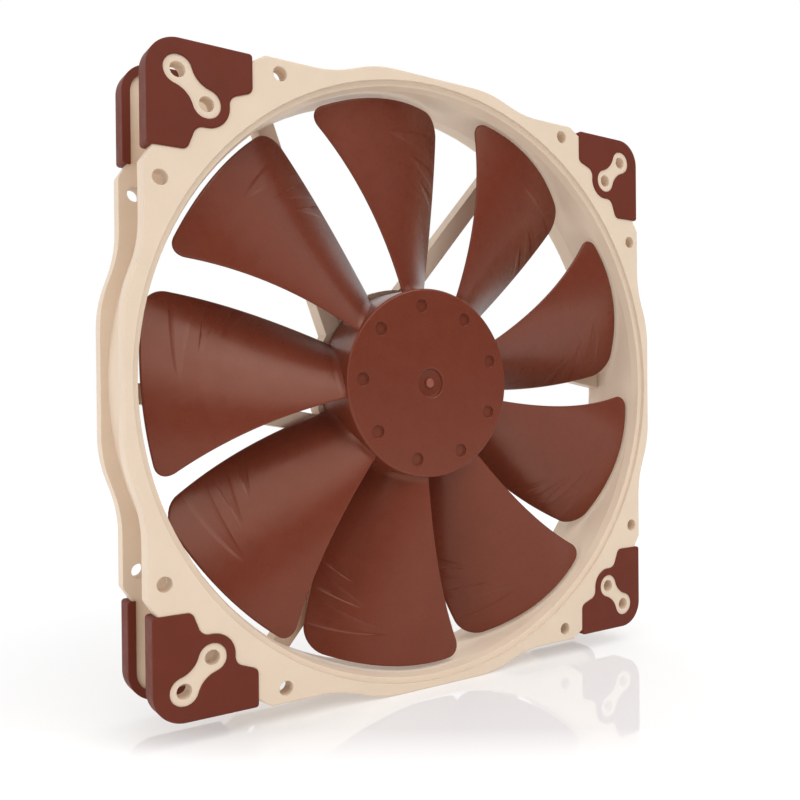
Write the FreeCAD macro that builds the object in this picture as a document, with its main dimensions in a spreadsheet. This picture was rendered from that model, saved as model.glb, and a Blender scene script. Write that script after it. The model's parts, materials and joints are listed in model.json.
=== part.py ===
import FreeCAD, Part
import Sketcher
import math
import os

# A 200 mm case fan: a one-piece frame with two flanges, eight soft corner pads and a nine-blade
# rotor on a brushless motor.
#
# Millimetres. The fan's axis is Y and its intake faces -Y. +Z is up, and +X is to the right as
# seen from the intake. The origin is on the axis, half way between the two flanges.
# Angles are counted from +X towards +Z, which is the way the rotor turns.
#
# A size may be given as an expression of sheet names, such as "hub_radius - hub_wall" or
# "-1*flange_face": terms parted by " + " and " - ", each a number, a name, or number*name.

document = FreeCAD.newDocument("case_fan")
sheet = document.addObject("Spreadsheet::Sheet", "Sizes")

SIZES = {
    # frame, seen from the intake: each side is flat near the corners and swells at its middle
    "bulge_half": 100.0,
    "bulge_end": 22.0,
    "flat_start": 37.5,
    "flat_half": 94.5,
    "flat_end": 59.5,
    "corner_start": 63.4,
    "corner_half": 92.0,
    "corner_round": 7.4,
    "swell_round": 38.0,
    "notch_round": 2.0,
    "side_count": 4.0,
    "edge_round": 0.6,
    # frame, front to back
    "flange_face": 15.0,
    "flange_inner": 9.5,
    "flange_thick": 5.5,
    "screw_radius": 2.15,
    "oblong_long": 90.0,
    "oblong_short": 55.0,
    # duct: outer wall, stepped mouth, throat and flared outlet
    "duct_wall": 98.0,
    "mouth_step": 97.6,
    "mouth_ledge": 13.8,
    "mouth_radius": 96.0,
    "mouth_depth": 13.4,
    "throat_radius": 95.3,
    "throat_front": 10.5,
    "throat_rear": 7.0,
    "outlet_radius": 96.6,
    "beyond": 20.0,
    # struts and motor base
    "strut_count": 6.0,
    "strut_turn": 50.0,
    "strut_offset": 18.6,
    "strut_half": 3.0,
    "strut_start": 25.0,
    "strut_end": 95.6,
    "strut_front": 8.8,
    "strut_rear": 14.8,
    "strut_depth": 6.0,
    "base_radius": 33.0,
    "base_front": 9.0,
    "base_cavity": 30.8,
    "base_floor": 12.0,
    "label_seat": 14.3,
    "label_seat_radius": 29.0,
    "label_radius": 28.6,
    "label_thick": 0.2,
    "boss_radius": 6.5,
    "boss_bore": 5.0,
    "boss_front": -6.5,
    "boss_bottom": 13.3,
    "cable_half": 1.6,
    "cable_bottom": 11.4,
    "cable_depth": 4.0,
    "cable_start": 25.5,
    "cable_end": 104.0,
    # corner pad, in the quadrant where X and Z are both positive
    "pad_half": 93.6,
    "pad_start": 63.6,
    "pad_shoulder": 82.6,
    "pad_dip": 80.0,
    "pad_toe": 70.4,
    "pad_face": 15.5,
    "pad_depth": 7.0,
    "pad_skin": 1.2,
    "pad_lip": 91.2,
    "pad_lip_thick": 1.0,
    "pad_corner_round": 9.0,
    "pad_end_round": 1.0,
    "pad_shoulder_round": 2.2,
    "pad_dip_round": 3.0,
    "pad_toe_round": 6.5,
    "pad_edge_round": 0.4,
    # bone-shaped window round two screw holes
    "window_outer": 85.0,
    "window_inner": 77.0,
    "window_radius": 4.1,
    "window_waist": 2.6,
    # hub
    "hub_radius": 31.5,
    "hub_wall": 1.5,
    "hub_face": -10.5,
    "hub_rear": 8.0,
    "hub_round": 0.8,
    "hub_boss": 5.5,
    "hub_boss_rear": -7.8,
    "hub_dish": 4.8,
    "hub_dish_floor": -9.6,
    "hub_pip": 1.7,
    "hub_pip_face": -9.75,
    "dimple_ring": 25.8,
    "dimple_radius": 2.2,
    "dimple_depth": 0.7,
    "dimple_turn": 17.5,
    # blades: three stations each, at the hub, half way out and at the tip. The leading edge is
    # the one that goes first as the rotor turns.
    "blade_count": 9.0,
    "blade_turn": 20.0,
    "blade_tip": 93.8,
    "blade_root": 30.7,
    "lead_angle_hub": 8.8,
    "lead_angle_mid": 12.4,
    "lead_angle_tip": 17.8,
    "trail_angle_hub": -23.8,
    "trail_angle_mid": -20.9,
    "trail_angle_tip": -16.8,
    "lead_depth_hub": -9.1,
    "lead_depth_mid": -10.0,
    "lead_depth_tip": -8.1,
    "trail_depth_hub": 5.9,
    "trail_depth_mid": 6.6,
    "trail_depth_tip": 2.0,
    "blade_camber": 0.082,
    "blade_thick_hub": 2.4,
    "blade_thick_tip": 1.5,
    "blade_edge_thick": 0.8,
    "blade_lead_round": 5.5,
    "blade_trail_round": 6.7,
    # rotor, inside the hub
    "yoke_radius": 30.0,
    "yoke_wall": 1.0,
    "yoke_rear": 7.0,
    "magnet_inner": 27.2,
    "magnet_front": -6.0,
    "magnet_rear": 6.5,
    "shaft_radius": 2.0,
    "shaft_front": -8.8,
    "shaft_rear": 10.0,
    "groove_radius": 1.5,
    "groove_front": 8.4,
    "groove_rear": 9.0,
    "insert_radius": 3.8,
    "insert_rear": -7.2,
    "slinger_radius": 3.6,
    "slinger_rear": -6.8,
    "clip_radius": 3.4,
    "clip_front": 8.45,
    "clip_rear": 8.95,
    "clip_slot": 0.5,
    # bearing
    "bearing_wall": 4.2,
    "bearing_rear": 7.6,
    "running_gap": 0.03,
    "seal_bore": 2.2,
    "seal_rear": -6.0,
    "thrust_front": 10.05,
    "thrust_rear": 11.3,
    # stator
    "stator_front": -4.5,
    "stator_rear": 3.5,
    "stator_stack": 8.0,
    "stator_radius": 26.6,
    "shoe_inner": 23.8,
    "shoe_angle": 80.0,
    "core_ring": 9.5,
    "arm_width": 8.0,
    "pole_count": 4.0,
    "former_thick": 1.0,
    "former_ring": 10.0,
    "former_arm_width": 9.0,
    "former_wall_inner": 22.5,
    "former_wall_outer": 23.7,
    "former_wall_angle": 68.0,
    "former_wall_tall": 3.0,
    "coil_inner": 10.2,
    "coil_outer": 21.4,
    "coil_hole_half": 4.6,
    "coil_build": 2.0,
    "coil_round": 2.0,
    # circuit board and what is on it
    "board_radius": 26.0,
    "board_bore": 11.0,
    "board_front": 7.2,
    "board_rear": 8.8,
    "pin_radius": 0.35,
    "pin_ring": 23.1,
    "pin_turn": 20.0,
    "pin_rear": 9.8,
    "pin_hole": 0.5,
    "sensor_ring": 24.0,
    "sensor_width": 4.0,
    "sensor_tall": 1.5,
    "sensor_length": 3.0,
    "chip_ring": 17.5,
    "chip_width": 5.0,
    "chip_tall": 1.5,
    "chip_length": 6.0,
    "capacitor_ring": 18.0,
    "capacitor_radius": 2.5,
    "capacitor_tall": 2.8,
    "resistor_count": 4.0,
    "resistor_ring": 15.5,
    "resistor_width": 2.0,
    "resistor_tall": 0.6,
    "resistor_length": 1.25,
    "solder_count": 4.0,
    "solder_ring": 22.5,
    "solder_radius": 0.9,
    "solder_tip": 0.4,
    "solder_tall": 1.1,
}


def fill_sheet():
    for row, (name, number) in enumerate(SIZES.items(), start=1):
        sheet.set(f"A{row}", name)
        sheet.set(f"B{row}", str(number))
        sheet.setAlias(f"B{row}", name)
    document.recompute()


def size(name):
    return float(sheet.get(name))


def terms(expression):
    """The (factor, name) pairs of an expression; a plain number has no name."""
    pairs = []
    sign = 1.0
    for word in expression.split():
        if word in ("+", "-"):
            sign = 1.0 if word == "+" else -1.0
            continue
        factor, star, name = word.rpartition("*")
        scale = sign * (float(factor) if star else 1.0)
        if name in SIZES:
            pairs.append((scale, name))
        else:
            pairs.append((scale * float(name), None))
        sign = 1.0
    return pairs


def value(expression):
    return sum(factor * (size(name) if name else 1.0) for factor, name in terms(expression))


def formula(expression):
    """The same expression in the document's own language."""
    words = [f"({factor}) * Sizes.{name}" if name else f"({factor})"
             for factor, name in terms(expression)]
    return " + ".join(words)


def bind(thing, path, expression):
    thing.setExpression(path, formula(expression))


# ---------------------------------------------------------------- sketches and features


def new_body(label):
    body = document.addObject("PartDesign::Body", label)
    body.Label = label
    return body


def origin_feature(body, role):
    return next(feature for feature in body.Origin.OriginFeatures if feature.Role == role)


def face_sketch(body, name, depth, turn="0"):
    """A sketch square to the fan's axis at Y = depth, turned from +X towards +Z."""
    sketch = body.newObject("Sketcher::SketchObject", name)
    sketch.AttachmentSupport = [(origin_feature(body, "XZ_Plane"), "")]
    sketch.MapMode = "FlatFace"
    sketch.AttachmentOffset = FreeCAD.Placement(
        FreeCAD.Vector(0, 0, -value(depth)),
        FreeCAD.Rotation(FreeCAD.Vector(0, 0, 1), value(turn)))
    sketch.setExpression("AttachmentOffset.Base.z", f"-1 * ({formula(depth)})")
    return sketch


def axis_sketch(body, name):
    """A sketch that holds half a section: radius to the right, Y upwards."""
    sketch = body.newObject("Sketcher::SketchObject", name)
    sketch.AttachmentSupport = [(origin_feature(body, "XY_Plane"), "")]
    sketch.MapMode = "FlatFace"
    return sketch


def pin_down(sketch, geometry, end, across, up):
    """Holds one point of a sketch at (across, up) from the sketch's origin."""
    for kind, axis, expression in (("DistanceX", -2, across), ("DistanceY", -1, up)):
        if value(expression) == 0:
            sketch.addConstraint(Sketcher.Constraint("PointOnObject", geometry, end, axis))
            continue
        held = Sketcher.Constraint(kind, -1, 1, geometry, end, value(expression))
        index = sketch.addConstraint(held)
        bind(sketch, f"Constraints[{index}]", expression)


def polygon(sketch, corners):
    points = [FreeCAD.Vector(value(across), value(up), 0) for across, up in corners]
    first = sketch.GeometryCount
    count = len(points)
    for start, end in zip(points, points[1:] + points[:1]):
        sketch.addGeometry(Part.LineSegment(start, end), False)
    for i in range(count):
        following = first + (i + 1) % count
        sketch.addConstraint(Sketcher.Constraint("Coincident", first + i, 2, following, 1))
    for i, (across, up) in enumerate(corners):
        pin_down(sketch, first + i, 1, across, up)


def rectangle(sketch, left, low, right, high):
    polygon(sketch, [(left, low), (right, low), (right, high), (left, high)])


def round_cornered_square(sketch, half):
    """A square from the origin whose far corner is an arc concentric with the pads' corner."""
    centre = "pad_half - pad_corner_round"
    reach = value(half)
    middle = value(centre)
    points = [(0, 0), (reach, 0), (reach, middle), (middle, reach), (0, reach)]
    points = [FreeCAD.Vector(across, up, 0) for across, up in points]
    first = sketch.GeometryCount
    for start, end in ((0, 1), (1, 2), (3, 4), (4, 0)):
        sketch.addGeometry(Part.LineSegment(points[start], points[end]), False)
    round_centre = FreeCAD.Vector(middle, middle, 0)
    round_circle = Part.Circle(round_centre, FreeCAD.Vector(0, 0, 1), reach - middle)
    arc = sketch.addGeometry(Part.ArcOfCircle(round_circle, 0, math.pi / 2), False)
    joins = [("Coincident", first, 2, first + 1, 1), ("Tangent", first + 1, 2, arc, 1),
             ("Tangent", arc, 2, first + 2, 1), ("Coincident", first + 2, 2, first + 3, 1),
             ("Coincident", first + 3, 2, first, 1)]
    for join in joins:
        sketch.addConstraint(Sketcher.Constraint(*join))
    pin_down(sketch, first, 1, "0", "0")
    pin_down(sketch, first, 2, half, "0")
    pin_down(sketch, first + 3, 1, "0", half)
    pin_down(sketch, arc, 3, centre, centre)


def circle(sketch, across, up, radius):
    centre = FreeCAD.Vector(value(across), value(up), 0)
    index = sketch.addGeometry(Part.Circle(centre, FreeCAD.Vector(0, 0, 1), value(radius)), False)
    pin_down(sketch, index, 3, across, up)
    held = sketch.addConstraint(Sketcher.Constraint("Radius", index, value(radius)))
    bind(sketch, f"Constraints[{held}]", radius)


def add_feature(body, kind, name, sketch):
    feature = body.newObject(f"PartDesign::{kind}", name)
    feature.Profile = sketch
    sketch.Visibility = False
    return feature


def pad(body, name, sketch, length):
    """Material from the sketch towards +Y."""
    feature = add_feature(body, "Pad", name, sketch)
    feature.Reversed = True
    feature.Length = value(length)
    bind(feature, "Length", length)
    return feature


def pocket(body, name, sketch, depth):
    """A cut from the sketch towards +Y."""
    feature = add_feature(body, "Pocket", name, sketch)
    feature.Length = value(depth)
    bind(feature, "Length", depth)
    document.recompute()
    removed = feature.BaseFeature.Shape.Volume - feature.Shape.Volume
    if removed < 0.01:
        raise RuntimeError(f"{body.Label}: {name} removes nothing")
    return feature


def turned(body, kind, name, outline):
    """A Revolution or Groove about the fan's axis of an outline of (radius, Y) corners."""
    sketch = axis_sketch(body, f"{name}_profile")
    polygon(sketch, outline)
    feature = add_feature(body, kind, name, sketch)
    feature.ReferenceAxis = (sketch, ["V_Axis"])
    feature.Angle = 360.0
    return feature


def around_axis(body, name, features, count):
    """Repeats features evenly about the fan's axis."""
    pattern = body.newObject("PartDesign::PolarPattern", name)
    pattern.Originals = features
    pattern.Axis = (origin_feature(body, "Y_Axis"), [""])
    pattern.Angle = 360.0
    pattern.Occurrences = int(value(count))
    body.Tip = pattern
    document.recompute()
    return pattern


def round_edges(body, name, radius, wanted):
    """Fillets the edges of the body's newest feature for which wanted(edge) is true."""
    document.recompute()
    base = body.Tip
    names = [f"Edge{i}" for i, edge in enumerate(base.Shape.Edges, start=1) if wanted(edge)]
    if not names:
        raise RuntimeError(f"{body.Label}: {name} finds no edge")
    fillet = body.newObject("PartDesign::Fillet", name)
    fillet.Base = (base, names)
    fillet.Radius = value(radius)
    bind(fillet, "Radius", radius)
    document.recompute()
    return fillet


def spans(edge, near, far):
    """True for a straight edge along Y whose ends are at depths near and far."""
    ends = sorted(vertex.Point.y for vertex in edge.Vertexes)
    if len(ends) != 2 or math.dist((ends[0], ends[1]), (near, far)) > 0.01:
        return False
    first, last = (vertex.Point for vertex in edge.Vertexes)
    return math.hypot(first.x - last.x, first.z - last.z) < 0.01


def stands_at(edge, places):
    point = edge.Vertexes[0].Point
    return any(math.dist((point.x, point.z), place) < 0.05 for place in places)


def lies_at(edge, depth):
    """True for an edge that lies wholly in the plane Y = depth."""
    box = edge.BoundBox
    return abs(box.YMin - depth) < 0.01 and abs(box.YMax - depth) < 0.01


def mirrored_places(across, up):
    """A place and its mirror about the diagonal."""
    return [(value(across), value(up)), (value(up), value(across))]


def turned_body(label, outline):
    body = new_body(label)
    turned(body, "Revolution", f"{label}_turned", outline)
    document.recompute()
    return body


def tube(label, inner, outer, front, rear):
    return turned_body(label, [(inner, front), (outer, front), (outer, rear), (inner, rear)])


# ---------------------------------------------------------------- corner pads


CORNERS = ["top_right", "bottom_right", "bottom_left", "top_left"]


# the radius of an arc that touches both of the window's circles and clears its waist
HOLLOW_RADIUS = ("((Sizes.window_outer - Sizes.window_inner)^2 / 2 + Sizes.window_waist^2"
                 " - Sizes.window_radius^2) / (2 * (Sizes.window_radius - Sizes.window_waist))")


def window_outline(sketch):
    """Two circles' outer arcs, joined by two hollow arcs that leave a waist between them."""
    outer = value("window_outer")
    inner = value("window_inner")
    radius = value("window_radius")
    waist = value("window_waist")
    apart = math.hypot(outer - inner, outer - inner) / 2
    hollow = (apart ** 2 + waist ** 2 - radius ** 2) / (2 * (radius - waist))
    middle = (outer + inner) / 2
    slope = math.sqrt(0.5)
    lean = math.atan2(waist + hollow, apart)
    centre_up = FreeCAD.Vector(outer, outer, 0)
    centre_down = FreeCAD.Vector(inner, inner, 0)
    sideways = (waist + hollow) * slope
    centre_left = FreeCAD.Vector(middle - sideways, middle + sideways, 0)
    centre_right = FreeCAD.Vector(middle + sideways, middle - sideways, 0)
    diagonal = math.pi / 4
    up_axis = FreeCAD.Vector(0, 0, 1)
    arcs = [
        (centre_up, radius, diagonal - math.pi + lean, diagonal + math.pi - lean),
        (centre_left, hollow, diagonal - math.pi + lean, diagonal - lean),
        (centre_down, radius, diagonal + lean, diagonal + 2 * math.pi - lean),
        (centre_right, hollow, diagonal + lean, diagonal + math.pi - lean),
    ]
    first = sketch.GeometryCount
    for centre, arc_radius, start, end in arcs:
        sketch.addGeometry(Part.ArcOfCircle(Part.Circle(centre, up_axis, arc_radius), start, end), False)
    # arc, which of its ends (1 start, 2 finish), the arc it runs into, and that arc's end
    joins = [(0, 2, 1, 2), (1, 1, 2, 1), (2, 2, 3, 2), (3, 1, 0, 1)]
    for arc, end, other, other_end in joins:
        sketch.addConstraint(Sketcher.Constraint("Tangent", first + arc, end, first + other, other_end))
    pin_down(sketch, first, 3, "window_outer", "window_outer")
    pin_down(sketch, first + 2, 3, "window_inner", "window_inner")
    for arc in (0, 2):
        held = sketch.addConstraint(Sketcher.Constraint("Radius", first + arc, radius))
        bind(sketch, f"Constraints[{held}]", "window_radius")
    sketch.addConstraint(Sketcher.Constraint("Equal", first + 1, first + 3))
    held = sketch.addConstraint(Sketcher.Constraint("Radius", first + 1, hollow))
    sketch.setExpression(f"Constraints[{held}]", HOLLOW_RADIUS)


def corner_pad(label, placement):
    """A soft pad that wraps a flange's corner: skin, side wall and a narrow inner lip."""
    body = new_body(label)
    front = "-1*pad_face"
    rear = "-1*pad_face + pad_depth"
    outline = face_sketch(body, f"{label}_outline", front)
    polygon(outline, [
        ("pad_start", "pad_half"), ("pad_start", "pad_shoulder"), ("pad_toe", "pad_dip"),
        ("pad_toe", "pad_toe"), ("pad_dip", "pad_toe"), ("pad_shoulder", "pad_start"),
        ("pad_half", "pad_start"), ("pad_half", "pad_half")])
    pad(body, f"{label}_block", outline, "pad_depth")
    rounds = [
        ("pad_end_round", mirrored_places("pad_start", "pad_half")),
        ("pad_shoulder_round", mirrored_places("pad_start", "pad_shoulder")),
        ("pad_dip_round", mirrored_places("pad_toe", "pad_dip")),
        ("pad_toe_round", mirrored_places("pad_toe", "pad_toe")),
        ("pad_corner_round", mirrored_places("pad_half", "pad_half")),
    ]
    for radius, places in rounds:
        round_edges(body, f"{label}_{radius}", radius,
                    lambda edge: spans(edge, value(front), value(rear)) and stands_at(edge, places))
    round_edges(body, f"{label}_soft_edges", "pad_edge_round",
                lambda edge: lies_at(edge, value(front)))
    window = face_sketch(body, f"{label}_window_outline", front)
    window_outline(window)
    pocket(body, f"{label}_window", window, "pad_skin")
    groove = face_sketch(body, f"{label}_groove_outline", "-1*pad_face + pad_skin")
    round_cornered_square(groove, "corner_half")
    pocket(body, f"{label}_groove", groove, "pad_depth - pad_skin - pad_lip_thick")
    lip = face_sketch(body, f"{label}_lip_outline", "-1*pad_face + pad_depth - pad_lip_thick")
    round_cornered_square(lip, "pad_lip")
    pocket(body, f"{label}_lip", lip, "pad_lip_thick")
    body.Placement = placement
    return body


def corner_pads():
    """Four pads on the front flange and four on the rear one, each a turned copy."""
    fan_axis = FreeCAD.Vector(0, 1, 0)
    upright = FreeCAD.Vector(0, 0, 1)
    pads = []
    for side, flip in (("front", 0), ("rear", 180)):
        for quarter in range(4):
            turn = FreeCAD.Rotation(fan_axis, 90 * quarter) * FreeCAD.Rotation(upright, flip)
            corner = CORNERS[quarter - 1] if flip else CORNERS[quarter]
            pads.append(corner_pad(f"pad_{side}_{corner}", FreeCAD.Placement(FreeCAD.Vector(), turn)))
    return pads


# ---------------------------------------------------------------- frame


def flange(body, side, front):
    """One flange: a quarter from the centre to one edge, repeated four times."""
    quarter = face_sketch(body, f"{side}_quarter", front)
    right = [
        ("corner_half", "corner_half"), ("corner_start", "corner_half"), ("flat_end", "flat_half"),
        ("flat_start", "flat_half"), ("bulge_end", "bulge_half")]
    left = [(f"-1*{across}", up) for across, up in reversed(right)]
    polygon(quarter, [("0", "0")] + right + left)
    block = pad(body, f"{side}_quarter_block", quarter, "flange_thick")
    around_axis(body, f"{side}_flange", [block], "side_count")
    near = value(front)
    far = near + value("flange_thick")
    swells = []
    corners = []
    notches = []
    for sign_up in (-1, 1):
        for sign_across in (-1, 1):
            corners.append((sign_across * value("corner_half"), sign_up * value("corner_half")))
            for across, up in (("corner_start", "corner_half"), ("flat_end", "flat_half")):
                notches.append((sign_across * value(across), sign_up * value(up)))
                notches.append((sign_across * value(up), sign_up * value(across)))
            for across, up in (("flat_start", "flat_half"), ("bulge_end", "bulge_half")):
                swells.append((sign_across * value(across), sign_up * value(up)))
                swells.append((sign_across * value(up), sign_up * value(across)))
    round_edges(body, f"{side}_swell_rounds", "swell_round",
                lambda edge: spans(edge, near, far) and stands_at(edge, swells))
    round_edges(body, f"{side}_corner_rounds", "corner_round",
                lambda edge: spans(edge, near, far) and stands_at(edge, corners))
    round_edges(body, f"{side}_notch_rounds", "notch_round",
                lambda edge: spans(edge, near, far) and stands_at(edge, notches))


def duct(body):
    """Bores the stepped mouth, the throat and the flared outlet through the block."""
    turned(body, "Groove", "duct_bore", [
        ("0", "-1*beyond"), ("mouth_step", "-1*beyond"), ("mouth_step", "-1*mouth_ledge"),
        ("mouth_radius", "-1*mouth_depth"), ("throat_radius", "-1*throat_front"),
        ("throat_radius", "throat_rear"), ("outlet_radius", "flange_face"),
        ("outlet_radius", "beyond"), ("0", "beyond")])
    document.recompute()


def struts(body):
    bar = face_sketch(body, "strut_outline", "strut_front", "strut_turn")
    rectangle(bar, "strut_start", "strut_offset - strut_half",
              "strut_end", "strut_offset + strut_half")
    block = pad(body, "strut", bar, "strut_depth")
    around_axis(body, "strut_ring", [block], "strut_count")
    turned(body, "Revolution", "motor_base_disc", [
        ("0", "base_front"), ("base_radius", "base_front"), ("base_radius", "strut_rear"),
        ("label_seat_radius", "strut_rear"), ("label_seat_radius", "label_seat"),
        ("0", "label_seat")])
    turned(body, "Groove", "motor_base_cavity", [
        ("0", "0"), ("base_cavity", "0"), ("base_cavity", "base_floor"), ("0", "base_floor")])
    turned(body, "Revolution", "bearing_boss", [
        ("0", "boss_front"), ("boss_radius", "boss_front"), ("boss_radius", "base_floor + 1"),
        ("0", "base_floor + 1")])
    turned(body, "Groove", "bearing_bore", [
        ("0", "boss_front - 1"), ("boss_bore", "boss_front - 1"), ("boss_bore", "boss_bottom"),
        ("0", "boss_bottom")])


def cable_way(body):
    """A channel along the back of one strut, from the motor base out through the rear flange."""
    channel = face_sketch(body, "cable_way_outline", "cable_bottom", "strut_turn + 240")
    rectangle(channel, "cable_start", "strut_offset - cable_half",
              "cable_end", "strut_offset + cable_half")
    pocket(body, "cable_way", channel, "cable_depth")


def screw_holes(body):
    """Four rectangles of through holes: two square ones and two oblong ones."""
    sketch = face_sketch(body, "screw_hole_circles", "-1*beyond")
    places = [("window_outer", "window_outer"), ("window_inner", "window_inner"),
              ("oblong_short", "oblong_long"), ("oblong_long", "oblong_short")]
    for across, up in places:
        for sign_across in (-1, 1):
            for sign_up in (-1, 1):
                circle(sketch, f"{sign_across}*{across}", f"{sign_up}*{up}", "screw_radius")
    pocket(body, "screw_holes", sketch, "2*beyond")


def is_flange_rim(edge):
    """True for an outline edge of either flange's outer face."""
    for depth in (-value("flange_face"), value("flange_face")):
        if lies_at(edge, depth):
            box = edge.BoundBox
            reach = max(abs(box.XMin), abs(box.XMax), abs(box.ZMin), abs(box.ZMax))
            middle = edge.CenterOfMass
            return reach > value("corner_half") - 8 and math.hypot(middle.x, middle.z) > 99
    return False


def fan_frame(pads):
    body = new_body("frame_moulding")
    turned(body, "Revolution", "duct_block", [
        ("0", "-1*flange_face"), ("duct_wall", "-1*flange_face"), ("duct_wall", "flange_face"),
        ("0", "flange_face")])
    flange(body, "front", "-1*flange_face")
    flange(body, "rear", "flange_inner")
    duct(body)
    round_edges(body, "rim_rounds", "edge_round", is_flange_rim)
    struts(body)
    screw_holes(body)
    cable_way(body)
    seats = document.addObject("Part::MultiFuse", "pad_seats")
    seats.Shapes = pads
    frame = document.addObject("Part::Cut", "fan_frame")
    frame.Label = "fan_frame"
    frame.Base = body
    frame.Tool = seats
    document.recompute()
    return frame


# ---------------------------------------------------------------- impeller


def through_three(hub, middle, tip, share):
    """The parabola through the values at the hub (0), half way (0.5) and the tip (1)."""
    bend = 2 * (hub + tip - 2 * middle)
    return hub + (tip - hub - bend) * share + bend * share ** 2


def blade_share(radius):
    return (radius - size("hub_radius")) / (size("blade_tip") - size("hub_radius"))


def blade_station(name, radius):
    share = blade_share(radius)
    return through_three(size(f"{name}_hub"), size(f"{name}_mid"), size(f"{name}_tip"), share)


def blade_point(radius, across, side):
    """A point of the blade's skin: across is 0 at the leading edge and 1 at the trailing edge.

    side is -1 for the intake side and 1 for the outlet side.
    """
    lead = blade_station("lead_angle", radius)
    trail = blade_station("trail_angle", radius)
    chord = math.radians(lead - trail) * radius
    front = blade_station("lead_depth", radius)
    drop = blade_station("trail_depth", radius) - front
    bow = 4 * across * (1 - across)
    depth = front + drop * across - size("blade_camber") * chord * bow
    share = min(max(blade_share(radius), 0), 1)
    thick = size("blade_thick_hub") * (1 - share) + size("blade_thick_tip") * share
    edge = size("blade_edge_thick")
    slant = math.hypot(chord, drop) / chord
    depth += side * 0.5 * slant * (edge + (thick - edge) * max(bow, 0))
    angle = math.radians(lead + (trail - lead) * across)
    return FreeCAD.Vector(radius * math.cos(angle), depth, radius * math.sin(angle))


def blade_skin(side):
    overhang = 0.1
    steps = 10
    inner = size("blade_root") - 2
    outer = size("blade_tip") + 2
    rows = []
    for i in range(steps + 1):
        radius = inner + (outer - inner) * i / steps
        shares = [-overhang + (1 + 2 * overhang) * j / steps for j in range(steps + 1)]
        rows.append([blade_point(radius, share, side) for share in shares])
    skin = Part.BSplineSurface()
    skin.interpolate(rows)
    return skin


def blade_slab():
    """A solid between the two skins, larger than the blade on every side."""
    near = blade_skin(-1)
    far = blade_skin(1)
    faces = [near.toShape(), far.toShape()]
    first_u, last_u, first_v, last_v = near.bounds()
    for u in (first_u, last_u):
        faces.append(Part.makeRuledSurface(near.uIso(u).toShape(), far.uIso(u).toShape()))
    for v in (first_v, last_v):
        faces.append(Part.makeRuledSurface(near.vIso(v).toShape(), far.vIso(v).toShape()))
    shell = Part.Shell(faces)
    shell.sewShape()
    solid = Part.Solid(shell)
    solid.fix(0.001, 0.001, 0.001)
    return solid


def blade_outline():
    """The blade as seen along the axis, drawn out along the axis with rounded tip corners."""
    root = size("blade_root")
    tip = size("blade_tip")
    steps = 8

    def edge_points(name):
        points = []
        for i in range(steps + 1):
            radius = root + (tip - root) * i / steps
            angle = math.radians(blade_station(name, radius))
            points.append(FreeCAD.Vector(radius * math.cos(angle), 0, radius * math.sin(angle)))
        return points

    def arc(radius):
        angles = [blade_station(name, radius) for name in ("trail_angle", "lead_angle")]
        angles.insert(1, sum(angles) / 2)
        corners = [FreeCAD.Vector(radius * math.cos(math.radians(angle)), 0,
                                  radius * math.sin(math.radians(angle))) for angle in angles]
        return Part.Arc(*corners).toShape()

    edges = [arc(root), arc(tip)]
    for name in ("lead_angle", "trail_angle"):
        curve = Part.BSplineCurve()
        curve.interpolate(edge_points(name))
        edges.append(curve.toShape())
    wire = Part.Wire(Part.__sortEdges__(edges))
    reach = size("beyond")
    face = Part.Face(wire)
    face.translate(FreeCAD.Vector(0, -reach, 0))
    prism = face.extrude(FreeCAD.Vector(0, 2 * reach, 0))
    for name in ("lead", "trail"):
        angle = math.radians(size(f"{name}_angle_tip"))
        corner = (tip * math.cos(angle), tip * math.sin(angle))
        edges = [edge for edge in prism.Edges
                 if spans(edge, -reach, reach) and stands_at(edge, [corner])]
        prism = prism.makeFillet(size(f"blade_{name}_round"), edges)
    return prism


def hub_cup():
    body = new_body("hub_cup")
    turned(body, "Revolution", "hub_shell", [
        ("0", "hub_face"), ("hub_radius", "hub_face"), ("hub_radius", "hub_rear"),
        ("hub_radius - hub_wall", "hub_rear"), ("hub_radius - hub_wall", "hub_face + hub_wall"),
        ("hub_boss", "hub_face + hub_wall"), ("hub_boss", "hub_boss_rear"),
        ("insert_radius", "hub_boss_rear"), ("insert_radius", "hub_face + hub_wall"),
        ("0", "hub_face + hub_wall")])
    round_edges(body, "hub_front_round", "hub_round",
                lambda edge: lies_at(edge, value("hub_face")))
    turned(body, "Groove", "hub_dish", [
        ("0", "hub_pip_face"), ("hub_pip", "hub_pip_face"), ("hub_pip", "hub_dish_floor"),
        ("hub_dish", "hub_dish_floor"), ("hub_dish", "hub_face - 1"), ("0", "hub_face - 1")])
    spot = face_sketch(body, "dimple_circle", "hub_face", "dimple_turn")
    circle(spot, "dimple_ring", "0", "dimple_radius")
    dimple = pocket(body, "dimple", spot, "dimple_depth")
    around_axis(body, "dimple_ring", [dimple], "blade_count")
    return body


def impeller():
    shape = blade_slab().common(blade_outline())
    blades = []
    count = int(size("blade_count"))
    for i in range(count):
        blade = document.addObject("Part::Feature", f"blade_{i + 1}")
        blade.Shape = shape
        turn = -(size("blade_turn") + 360 * i / count)
        blade.Placement = FreeCAD.Placement(
            FreeCAD.Vector(), FreeCAD.Rotation(FreeCAD.Vector(0, 1, 0), turn))
        blades.append(blade)
    rotor = document.addObject("Part::MultiFuse", "impeller")
    rotor.Label = "impeller"
    rotor.Shapes = [hub_cup()] + blades
    document.recompute()
    return rotor


# ---------------------------------------------------------------- rotor and bearing


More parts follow.
